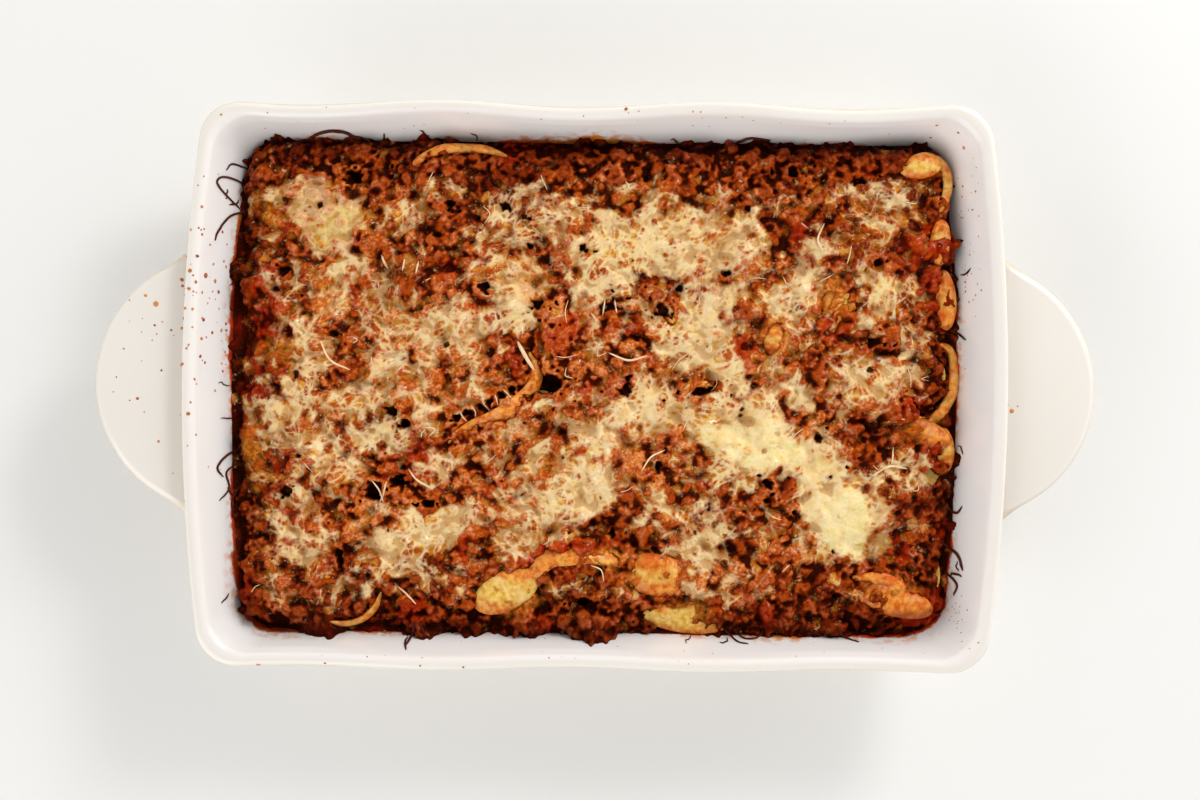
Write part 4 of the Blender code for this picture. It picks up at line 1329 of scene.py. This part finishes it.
baked_crust = crust_material()
cuts = np.linspace(0, COLUMNS - 1, 5).astype(int)
for name, first, last in zip(("far_west", "west", "east", "far_east"), cuts, cuts[1:]):
    nodes = ["meat_sauce", *pools] if name == "far_west" else ()
    make_crust("crust_" + name, int(first), int(last), baked_crust, nodes)

# %% [markdown]
# ## Strings of cheese
# Some shreds never melted flat. They lie across the crust or bridge a hole as pale strings.
# Each is a thin tube swept along a curve, so it catches the light and casts its own shadow.

# %% Lay the strings
def tube_rings(curve, radius, sides=6):
    """Circles along a curve of 3-D points, thinner at both ends."""
    rings = []
    for step, here in enumerate(curve):
        ahead = (curve[min(step + 1, len(curve) - 1)] - curve[max(step - 1, 0)]).normalized()
        aside = ahead.cross(Vector((0, 0, 1))).normalized()
        up = aside.cross(ahead)
        taper = 0.45 + 0.55 * math.sin(math.pi * step / (len(curve) - 1)) ** 0.6
        turns = (2 * math.pi * side / sides for side in range(sides))
        rings.append([here + (aside * math.cos(a) + up * math.sin(a)) * radius * taper for a in turns])
    return rings


STRINGS = (  # thickness in mm, how much it stands up, path in mm
    (1.7, 1.2, ((-33, 18.5), (-30, 13), (-26, 6.5))),
    (1.1, 0.8, ((-91, 55), (-90, 52), (-88.5, 49))),
    (0.8, 0.6, ((-81, 53), (-82, 48))),
    (0.8, 0.6, ((-75, 52), (-76, 47))),
    (0.7, 0.8, ((-94, -41), (-91, -45), (-89.5, -50))),
    (0.7, 0.8, ((-88, -41), (-89, -46), (-91, -50))),
    (0.9, 0.6, ((-79, -36), (-75, -40.5), (-69, -44))),
    (0.8, 0.6, ((-83, -86), (-79, -89), (-75, -93))),
    (0.6, 0.2, ((-57.2, -11.5), (-56.2, -13.4), (-54.2, -15.6))),
    (0.5, 0.1, ((-52, -9.4), (-50.8, -11.2), (-50.6, -13.4))),
    (0.7, 0.2, ((-47.8, -6.6), (-46.6, -8.4), (-44.4, -11))),
    (0.5, 0.1, ((-42.2, -4.2), (-41.6, -5.9), (-41, -8.4))),
    (0.6, 0.2, ((-39, -1.8), (-37.2, -3.4), (-35.2, -5.4))),
    (0.7, 0.5, ((-2, 31), (1, 27))),
    (0.7, 0.5, ((4, 37), (3, 30))),
    (0.7, 0.5, ((8, 37), (9, 31))),
    (1.0, 0.4, ((6, 14), (14, 11), (22, 13))),
    (0.9, 0.5, ((97, 70), (94, 63), (96, 58))),
    (0.7, 0.9, ((127, -25), (126, -33))),
    (1.0, 0.6, ((118, -37), (125, -33), (133, -34))),
    (0.9, 0.4, ((-116, 18), (-112, 10), (-104, 6))),
    (0.8, 0.4, ((30, -27), (24, -30), (20, -36))),
)


def crust_spots(x, y):
    """The crust's own height at places in the dish, in metres."""
    return read(skin, *to_lattice(np.asarray(x), np.asarray(y)))


def lay_string(bm, width, stand, points):
    curve = smooth_path(points, 5, MM)
    level = crust_spots([spot_here.x for spot_here in curve], [spot_here.y for spot_here in curve])
    level = np.maximum(level, np.linspace(level[0], level[-1], len(level)))
    arch = [math.sin(math.pi * step / (len(curve) - 1)) for step in range(len(curve))]
    lifted = [
        Vector((*spot_here, z + width * 0.3 * MM + stand * MM * rise))
        for spot_here, z, rise in zip(curve, level, arch)
    ]
    add_loft(bm, tube_rings(lifted, width * 0.5 * MM))


bm = bmesh.new()
for width, stand, points in STRINGS:
    lay_string(bm, width, stand, points)
LOOSE_STRINGS = 60
laid = 0
while laid < LOOSE_STRINGS:
    x, y = draw.uniform(-145, 148), draw.uniform(-98, 92)
    if draw.random() > float(read(share, *to_lattice(np.array([x * MM]), np.array([y * MM])))[0]) * 1.1:
        continue
    heading, bend, size = draw.uniform(0, math.tau), draw.normal(0, 0.9), draw.uniform(2, 5)
    path = [(x, y)]
    for _ in range(2):
        x, y = x + size * math.cos(heading), y + size * math.sin(heading)
        heading += bend
        path.append((x, y))
    if max(abs(x) / 148, abs(y) / 100) < 1:
        lay_string(bm, draw.uniform(0.3, 0.55), draw.uniform(0, 0.15), path)
        laid += 1
string = Finish("cheese_string", 0.3, IOR=1.45, Specular_IOR_Level=0.4)
stringy = string.blend(string.cloud(0.004, 2), (230, 190, 128), (250, 236, 204))
stringy = string.paint(stringy, (string.cloud(0.009, 2).step(0.52, 0.7) * 0.6, (226, 160, 96)))
finish_piece(bm, "cheese_strings", string.use(Base_Color=stringy))

# %% [markdown]
# ## Splashes and burnt shreds
# Sauce spat on the walls and the handles as it boiled. A few shreds of cheese hung over
# the edge and burnt black. Rays dropped on the dish and the crust say where each one lies.

# %% Surfaces to rest on
LANDING = ("dish_body", "handle_", "crust_")
tree = ray_target(item.data for item in scene.objects if item.name.startswith(LANDING))
scatter = random.Random(5)


def rest_on(x, y):
    """Where a ray from above lands at a place in mm, and the surface's slope there."""
    hit, normal, *_ = tree.ray_cast(Vector((x * MM, y * MM, 0.2)), DOWN)
    return (hit, normal) if hit else (None, None)


# %% Splashes
def splash(bm, tint, x, y, radius):
    """A flat drop of dried sauce on the dish."""
    hit, normal = rest_on(x, y)
    if hit is None or hit.z < 45 * MM:
        return
    turn = normal.to_track_quat("Z", "Y").to_matrix().to_4x4()
    size = Matrix.Diagonal((radius * MM, radius * MM * scatter.uniform(0.7, 1), 0.22 * radius * MM, 1))
    spin = Matrix.Rotation(scatter.uniform(0, math.tau), 4, "Z")
    place = Matrix.Translation(hit) @ turn @ spin @ size
    made = bmesh.ops.create_icosphere(bm, subdivisions=2, radius=1, matrix=place)["verts"]
    shade_of = scatter.random()
    for vert in made:
        vert[tint] = shade_of
        vert.co += normal * 0.05 * MM


def one_of(*sizes):
    return scatter.choice(sizes)


NAMED_SPLASHES = (  # x, y and radius in mm
    (-186, 33, 0.9), (-185.6, 33, 1.2), (-190, 36.5, 0.8), (-186, 24, 0.55), (-184, -25, 0.6),
    (-193, -7, 0.7), (-199, 14, 0.5), (-187, 50, 0.5), (-181, 62, 0.5), (-202, 2, 0.4), (-183, 5, 0.5),
    (-196, 44, 0.45), (-179, 22, 0.5), (-164, 45, 1.2), (-161, 43, 0.9), (-161.5, 50, 0.7),
    (-165, 62, 0.6), (-52, 121, 0.7), (-25, 118, 0.4), (12, 116, 0.9), (40, 115, 0.45), (54, 113, 0.5),
    (-72, -117.5, 0.5), (-140, -118, 1.0), (-112, -117, 0.6), (-54, -118, 0.5), (143, 111, 0.7),
    (152, 108, 0.7), (155, 102, 0.8), (148, 98, 0.8), (142, 107, 0.6), (124, 108, 0.5), (176, 90, 0.5),
    (174, -6.5, 0.8), (176, -9, 1.0), (173.5, -10.5, 0.5), (178.5, -7, 0.4),
)
bm = bmesh.new()
tint = bm.verts.layers.float.new("tint")
for x, y, radius in NAMED_SPLASHES:
    splash(bm, tint, x, y, radius)
evenly, around = scatter.uniform, scatter.gauss
SPRAYS = (  # how many, then how x, y and the radius are drawn, in mm
    (95, evenly, (-175, -157), around, (38, 32), one_of, (0.3, 0.4, 0.5, 0.7, 0.9)),
    (16, evenly, (-205, -176), around, (20, 26), evenly, (0.25, 0.4)),
    (46, around, (158, 2.2), around, (56, 20), one_of, (0.25, 0.35, 0.5)),
    (26, evenly, (-158, 152), evenly, (106, 116), one_of, (0.25, 0.3, 0.4)),
    (26, evenly, (-150, 158), evenly, (-116, -106), one_of, (0.2, 0.25, 0.35)),
    (40, around, (154, 3.5), around, (-96, 6), one_of, (0.2, 0.3, 0.35)),
)
for count, draw_x, of_x, draw_y, of_y, draw_size, of_size in SPRAYS:
    for _ in range(count):
        splash(bm, tint, draw_x(*of_x), draw_y(*of_y), draw_size(*of_size))
dried = Finish("dried_sauce", 0.25)
dried_colour = dried.blend(dried.attributes("tint")[0], (150, 62, 20), (214, 142, 70))
finish_piece(bm, "splashes", dried.use(Base_Color=dried_colour))

# %% Burnt shreds
SHREDS = (  # thickness in mm and a path in mm
    (0.8, ((-150, 72), (-156, 78), (-160, 84), (-158, 87), (-153, 86), (-149, 82))),
    (0.9, ((-150, 74), (-156, 71), (-160, 64), (-161, 60))),
    (0.7, ((-150, 92), (-155, 93), (-157, 90))),
    (0.9, ((-152, -28), (-157, -31), (-160, -36), (-158, -40))),
    (0.8, ((-152, -34), (-157, -38), (-156, -45), (-159, -50))),
    (0.7, ((-151, -44), (-155, -50), (-154, -58))),
    (1.0, ((-76, -101), (-76.5, -106), (-79, -110.5))),
    (0.8, ((-74, -101), (-72, -106))),
    (0.8, ((60, -103), (64, -107), (70, -107), (73, -104))),
    (0.7, ((56, -103), (61, -108), (66, -109))),
    (0.9, ((150, 26), (155, 24), (158, 21))),
    (0.9, ((150, -50), (155, -53), (157, -50))),
    (1.1, ((149, -66), (154, -69), (156, -72), (157, -77))),
    (0.9, ((151, -78), (155, -83), (154, -88))),
    (1.3, ((-128, 103), (-118, 107), (-108, 107.5), (-101, 104))),
    (1.2, ((-112, 102), (-104, 106), (-97, 103))),
    (1.1, ((56, 103), (64, 106.5), (74, 106))),
    (0.8, ((104, -101), (107, -106), (113, -108))),
)
bm = bmesh.new()
for width, points in SHREDS:
    curve = smooth_path(points, 5)
    lifted = []
    for step, spot_here in enumerate(curve):
        hit, normal = rest_on(*spot_here)
        if hit:
            lifted.append(hit + normal * (0.4 + 0.5 * noise.noise((spot_here.x, step, 3))) * width * MM)
    if len(lifted) > 3:
        add_loft(bm, tube_rings(lifted, width * 0.62 * MM))
LOOSE_SHREDS = 26
for _ in range(LOOSE_SHREDS):
    side = scatter.choice(("west", "west", "east", "north", "south"))
    if side in ("west", "east"):
        x, y = (-154.5 if side == "west" else 154) + scatter.gauss(0, 1.2), scatter.uniform(-92, 92)
    else:
        x, y = scatter.uniform(-140, 140), (106 if side == "north" else -106.5) + scatter.gauss(0, 1)
    heading = scatter.uniform(0, math.tau)
    curve = []
    for step in range(5):
        hit, normal = rest_on(x, y)
        if hit:
            curve.append(hit + normal * 0.25 * MM)
        x, y = x + 1.1 * math.cos(heading), y + 1.1 * math.sin(heading)
        heading += scatter.gauss(0, 0.6)
    if len(curve) > 3:
        add_loft(bm, tube_rings(curve, scatter.uniform(0.25, 0.55) * MM))
burnt = Finish("burnt_cheese", 0.5, Specular_IOR_Level=0.15)
burnt_colour = burnt.blend(burnt.cloud(0.004, 2), (44, 14, 6), (96, 38, 16))
finish_piece(bm, "burnt_shreds", burnt.use(Base_Color=burnt_colour))
